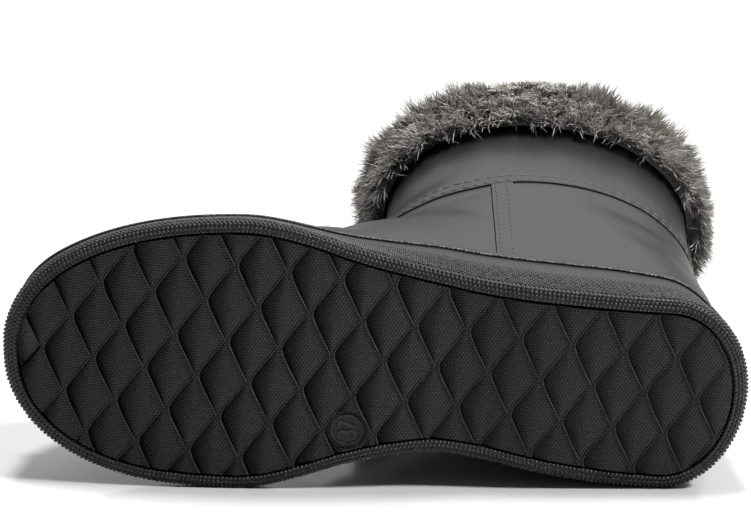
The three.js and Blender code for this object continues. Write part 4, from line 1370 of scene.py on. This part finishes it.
# Hairs: name, first and last place on the cuff's section, number, seed, length, and how far they stand
# away from the cuff and hang down
HAIRS = [
    ("outer_fur", 0.6, 3.0, 15000, 11, 11.0, 0.55, 0.8),
    ("upper_fur", 3.0, 4.9, 15000, 12, 10.0, 0.75, 0.45),
    ("inner_fur", 4.9, 8.2, 13000, 13, 7.0, 0.9, 0.1),
]
HAIR_BEND = 0.25
HAIR_SPREAD = 0.16
TUFT_SPREAD = 0.22
BEND_SPREAD = 0.35


def cuff_section(section):
    """Distance out, height from the collar edge and furriness at places on the cuff's section."""
    keys = np.arange(len(CUFF_SECTION))
    return [np.interp(section, keys, [row[k] for row in CUFF_SECTION]) for k in range(3)]


def cuff_points(section, turn):
    """Points on the cuff at places on its section and turns round the shaft."""
    out, up, _ = cuff_section(section)
    return shaft_points(BOOT_HEIGHT + up, out, turn)


def cuff_base():
    """Felt like body of the cuff under the hairs, set in a little from its outside."""
    last = len(CUFF_SECTION) - 1
    rings = []
    for section in [*np.concatenate([np.linspace(k, k + 1, 4)[:-1] for k in range(last)]), float(last)]:
        out, up, furry = cuff_section(section)
        inward = np.sign(out + 0.5 * LEATHER) * 1.6 * furry
        z = BOOT_HEIGHT + up - (1.5 * furry if up > 0 else 0)
        rings.append(shaft_ring(z, float(out - inward), CUFF_SIDES))
    rings.append(rings[0])
    return weld(np.concatenate(rings), bands(len(rings), CUFF_SIDES))


def uneven(n):
    """Repeatable uneven value between 0 and 1."""
    s = math.sin(n * 12.9898 + 4.1) * 43758.5453
    return s - math.floor(s)


def lock_tips():
    """Root and tip of each lock of the cuff's solid."""
    roots, tips = [], []
    for level, (up, share, count) in enumerate(LOCK_ROWS):
        z = BOOT_HEIGHT + up * CUFF_HEIGHT
        ring = shaft_ring(z, share * CUFF_THICKNESS, count)
        out = unit(shaft_ring(z, share * CUFF_THICKNESS + 1, count) - ring)
        for k in range(count):
            seed = 31 * level + k
            along = np.array([-out[k][1], out[k][0], 0.0])
            root = ring[k] + along * 4 * (uneven(seed) - 0.5)
            length = LOCK_LENGTH * (0.75 + 0.4 * uneven(seed + 7))
            roots.append(root)
            tips.append(root + out[k] * 0.2 * length - np.array([0, 0, length]))
    return np.array(roots), np.array(tips)


def hair(bend, sides=3):
    """Hair of unit length along z and unit girth, bent towards x, closed at its root."""
    levels = [(0.0, 1.0), (0.5, 0.8)]
    circle = [(math.cos(a), math.sin(a)) for a in 2 * np.pi * np.arange(sides) / sides]
    points = [
        (bend * h * h + r * c * HAIR_GIRTH, r * s * HAIR_GIRTH, h)
        for h, r in levels for c, s in circle
    ]
    points.append((bend, 0.0, 1.0))
    last = (len(levels) - 1) * sides
    tip = [[last + k, last + (k + 1) % sides, len(points) - 1] for k in range(sides)]
    return small_shape("hair", points, bands(len(levels), sides) + tip + [[2, 1, 0]])


def nearest(points, centres):
    """Index of the nearest centre to each point."""
    near = [np.argmin(((part[:, None] - centres[None]) ** 2).sum(2), axis=1)
            for part in np.array_split(points, max(1, len(points) // 500))]
    return np.concatenate(near)


def hair_field(first, last, number, seed, length, stand, hang):
    """Roots, directions, sizes and shades of hairs between two places on the cuff's section."""
    rng = np.random.default_rng(seed)
    section = rng.uniform(first, last, number)
    turn = rng.uniform(0, 1, number)
    root = cuff_points(section, turn)
    across = cuff_points(section, turn + 0.003) - cuff_points(section, turn - 0.003)
    above = cuff_points(section + 0.03, turn) - cuff_points(section - 0.03, turn)
    out = unit(np.cross(across, above))
    centre = np.array([SIDE_WALL + SHAFT_DEPTH / 2, 0.0, BOOT_HEIGHT - CUFF_HEIGHT / 2])
    flip = np.sign(np.sum(out * (root - centre), 1)) * np.where(section > CUFF_TOP, -1, 1)
    steep = np.abs(out[:, 2]) > 0.7
    out *= np.where(steep, np.sign(out[:, 2]), flip)[:, None]
    own = unit(out * stand + [0.0, 0.0, -hang] + rng.normal(0, HAIR_SPREAD, (number, 3)))
    tufts = rng.choice(number, number // HAIRS_A_TUFT, replace=False)
    mine = nearest(root, root[tufts])
    tuft_length = length * rng.uniform(0.75, 1.2, len(tufts))
    tuft_own = unit(own[tufts] + rng.normal(0, TUFT_SPREAD, (len(tufts), 3)))
    tuft_end = root[tufts] + tuft_own * tuft_length[:, None]
    ahead = unit(own * length + (tuft_end[mine] - root))
    lock_root, lock_tip = lock_tips()
    lock = nearest(root, lock_root)
    away = np.linalg.norm(root - lock_root[lock], axis=1)
    pull = LOCK_PULL * np.exp(-((away / LOCK_REACH) ** 2))[:, None] * (section < CUFF_TOP)[:, None]
    ahead = unit(ahead * (1 - pull) + unit(lock_tip[lock] - root) * pull)
    long = tuft_length[mine] * rng.uniform(0.7, 1.1, number)
    tuft_shade = rng.beta(1.6, 1.6, len(tufts))
    shade = np.clip(0.62 * tuft_shade[mine] + 0.38 * rng.uniform(0, 1, number), 0, 1)
    sizes = np.repeat(long[:, None], 3, axis=1) / 1000
    bent_to = np.array([0.0, 0.0, -1.0]) + 0.5 * out + rng.normal(0, BEND_SPREAD, (number, 3))
    return root - out * HAIR_SINK, ahead, bent_to, sizes, shade


def hit_line(tree, origins, directions):
    """Places and normals where rays of the standing frame meet a surface, in the standing frame."""
    places, normals = [], []
    for origin, direction in zip(to_row(origins), to_row_direction(directions)):
        place, normal, _, _ = tree.ray_cast(Vector(origin), Vector(direction))
        if place is not None:
            places.append(place)
            normals.append(normal)
    return to_standing(np.array(places)), np.array(normals) @ TURN


def stitch_row(tree, origins, directions):
    """Evenly spaced stitches along the line where rays meet a surface."""
    places, normals = hit_line(tree, origins, directions)
    length = arc_lengths(places)
    at = np.arange(STITCH_PITCH / 2, length[-1], STITCH_PITCH)
    where = at_lengths(at, length, places)
    return where, unit(at_lengths(at, length, normals)), at_lengths(at + 0.5, length, places) - where


def level_rays(height, count=900):
    """Rays from all round towards the middle of the shaft at a height."""
    angle = 2 * np.pi * np.arange(count + 1) / count
    out = np.stack([np.cos(angle), np.sin(angle), 0 * angle], 1)
    middle = np.array([SIDE_WALL + SHAFT_DEPTH / 2, 0.0, height])
    return middle + out * 200, -out


def lip_rays(rise, count=700):
    """Rays from all round the cup's lip towards the leather at a height over the lip."""
    ring = closed(plan_ring(even(-20), lambda x: lip_top(x) + rise, count // 2))
    ahead = np.gradient(ring, axis=0)
    inward = unit(np.stack([-ahead[:, 1], ahead[:, 0], 0 * ahead[:, 0]], 1))
    middle = np.array([SOLE_LENGTH / 2, 0, 0])
    if np.sum(inward * (ring - middle)) > 0:
        inward = -inward
    return ring, inward


def upright_rays(x, side, count=300):
    """Rays from one side towards the leather, up a line at a place along the boot."""
    z = np.linspace(float(lip_top(x)) + 1.5, SHAFT_SEAM_HEIGHT - 1.5, count)
    origins = np.stack([np.full(count, x), np.full(count, side * 200.0), z], 1)
    return origins, np.tile([0.0, -side, 0.0], (count, 1))


def camera_in_photo():
    """Camera that sees a point of the heel at its pixel of the photo."""
    elevation = math.radians(CAMERA_ELEVATION)
    back = Vector((0, -math.cos(elevation), math.sin(elevation)))
    right = Vector((1, 0, 0))
    up = back.cross(right)
    aside, down = ((HEEL_PIXEL[k] - PHOTO_SIZE[k] / 2) / FOCAL_LENGTH for k in range(2))
    offset = right * aside - up * down - back
    data = bpy.data.cameras.new("camera")
    data.sensor_width = 36
    data.lens = FOCAL_LENGTH / PHOTO_SIZE[0] * 36
    data.clip_end = 50
    made = bpy.data.objects.new("camera", data)
    point = Vector(to_row([(*HEEL_POINT, float(underside(HEEL_POINT[0])))])[0])
    turn = Matrix((right, up, back)).transposed().to_4x4()
    made.matrix_world = Matrix.Translation(point - offset * CAMERA_DISTANCE / 1000) @ turn
    bpy.context.scene.collection.objects.link(made)
    bpy.context.scene.camera = made


def white_room():
    """Surroundings that are bright behind and over the boot and dim on the camera's side."""
    world = bpy.data.worlds.new("white room")
    world.use_nodes = True
    tree = world.node_tree
    coordinates = tree.nodes.new("ShaderNodeTexCoord")
    split = tree.nodes.new("ShaderNodeSeparateXYZ")
    both = tree.nodes.new("ShaderNodeMath")
    both.operation = "MULTIPLY"
    tree.links.new(coordinates.outputs["Generated"], split.inputs[0])
    for slot, (axis, ends) in enumerate((("Y", ROOM_TURN + ROOM_LIGHT), ("Z", ROOM_RISE))):
        share = tree.nodes.new("ShaderNodeMapRange")
        share.interpolation_type = "SMOOTHSTEP"
        for key, value in zip(("From Min", "From Max", "To Min", "To Max"), ends):
            share.inputs[key].default_value = value
        tree.links.new(split.outputs[axis], share.inputs["Value"])
        tree.links.new(share.outputs[0], both.inputs[slot])
    tree.links.new(both.outputs[0], tree.nodes["Background"].inputs["Strength"])
    tree.nodes["Background"].inputs["Color"].default_value = (1, 1, 1, 1)
    bpy.context.scene.world = world


def soft_sun(name, strength, spread, towards):
    """Soft light that is even all over the floor."""
    data = bpy.data.lights.new(name, "SUN")
    data.energy = strength
    data.angle = math.radians(spread)
    made = bpy.data.objects.new(name, data)
    made.rotation_mode = "QUATERNION"
    made.rotation_quaternion = Vector(towards).to_track_quat("-Z", "Y")
    bpy.context.scene.collection.objects.link(made)


def studio():
    """Pale glossy floor, white surroundings and soft lights."""
    mesh = bpy.data.meshes.new("floor")
    mesh.from_pydata([(-6, -6, 0), (6, -6, 0), (6, 9, 0), (-6, 9, 0)], [], [[0, 1, 2, 3]])
    floor = shown("floor", mesh)
    paint = Surface("pale floor", Base_Color=(0.55, 0.55, 0.55, 1), Roughness=0.1, Specular_IOR_Level=0.6)
    floor.data.materials.append(paint.material)
    white_room()
    for row in SUNS:
        soft_sun(*row)
    bpy.context.scene.view_settings.view_transform = "Standard"


studio()
camera_in_photo()

rubber = moulded_rubber()
dots = dot_rubber()
leather = black_leather()
thread = stitch_thread()
hairs = fur_hair()

finish_piece("cup_rubber", sole_cup(), "sole_cup", rubber, crease=40)
for name, *row in (("rim_dots", 0.0, DOTS_PARTED, 1), ("wall_dots", DOTS_PARTED, DOTS_END, 2)):
    field = scatter(name, *dot_field(*row), dome(), dots)
    finish_piece(name, field, "sole_cup", dots, crease=70)
finish_piece("tread_scales", tread_plate(), "tread_plate", tread_rubber(), crease=35)

leathers = {
    name: finish_piece(f"{name}_leather", mesh, name, leather, crease=50)
    for name, mesh in leather_pieces().items()
}
finish_piece("lining", lining(), "upper", fleece("lining fleece", 1.3))
finish_piece("insole_top", insole(), "insole", fleece("insole fleece", 1.1))
for name, line in (("front", front_seam_line(CLEARANCE)), ("back", back_seam_line(CLEARANCE))):
    cord = mesh_of(f"{name} seam", cord_along(line))
    finish_piece(f"{name}_cord", cord, f"{name}_seam", leather)

bpy.context.view_layer.update()
skins = {
    name: BVHTree.FromPolygons([v.co.copy() for v in made.data.vertices],
                               [list(p.vertices) for p in made.data.polygons])
    for name, made in leathers.items()
}
rows = [stitch_row(skins[name], *lip_rays(LIP_STITCHES)) for name in ("upper", "counter")]
rows += [stitch_row(skins["shaft"], *level_rays(SHAFT_SEAM_HEIGHT + rise)) for rise in SHAFT_STITCHES]
rows += [
    stitch_row(skins["counter"], *upright_rays(COUNTER_SEAM - behind, side))
    for behind in COUNTER_STITCHES for side in (-1, 1)
]
where, out, ahead = (np.concatenate(part) for part in zip(*rows))
sizes = np.full((len(where), 3), STITCH_LENGTH / 1000)
stitches = scatter("stitches", where, out, ahead, sizes, np.full(len(where), 0.5), capsule(), thread)
finish_piece("stitches", stitches, "upper", thread)

finish_piece("fur_base", mesh_of("fur base", cuff_base()), "fur_cuff", fleece("fur base", 1.4))
for name, *row in HAIRS:
    fur = scatter(name, *hair_field(*row), hair(HAIR_BEND), hairs)
    finish_piece(name, fur, "fur_cuff", hairs, crease=80)
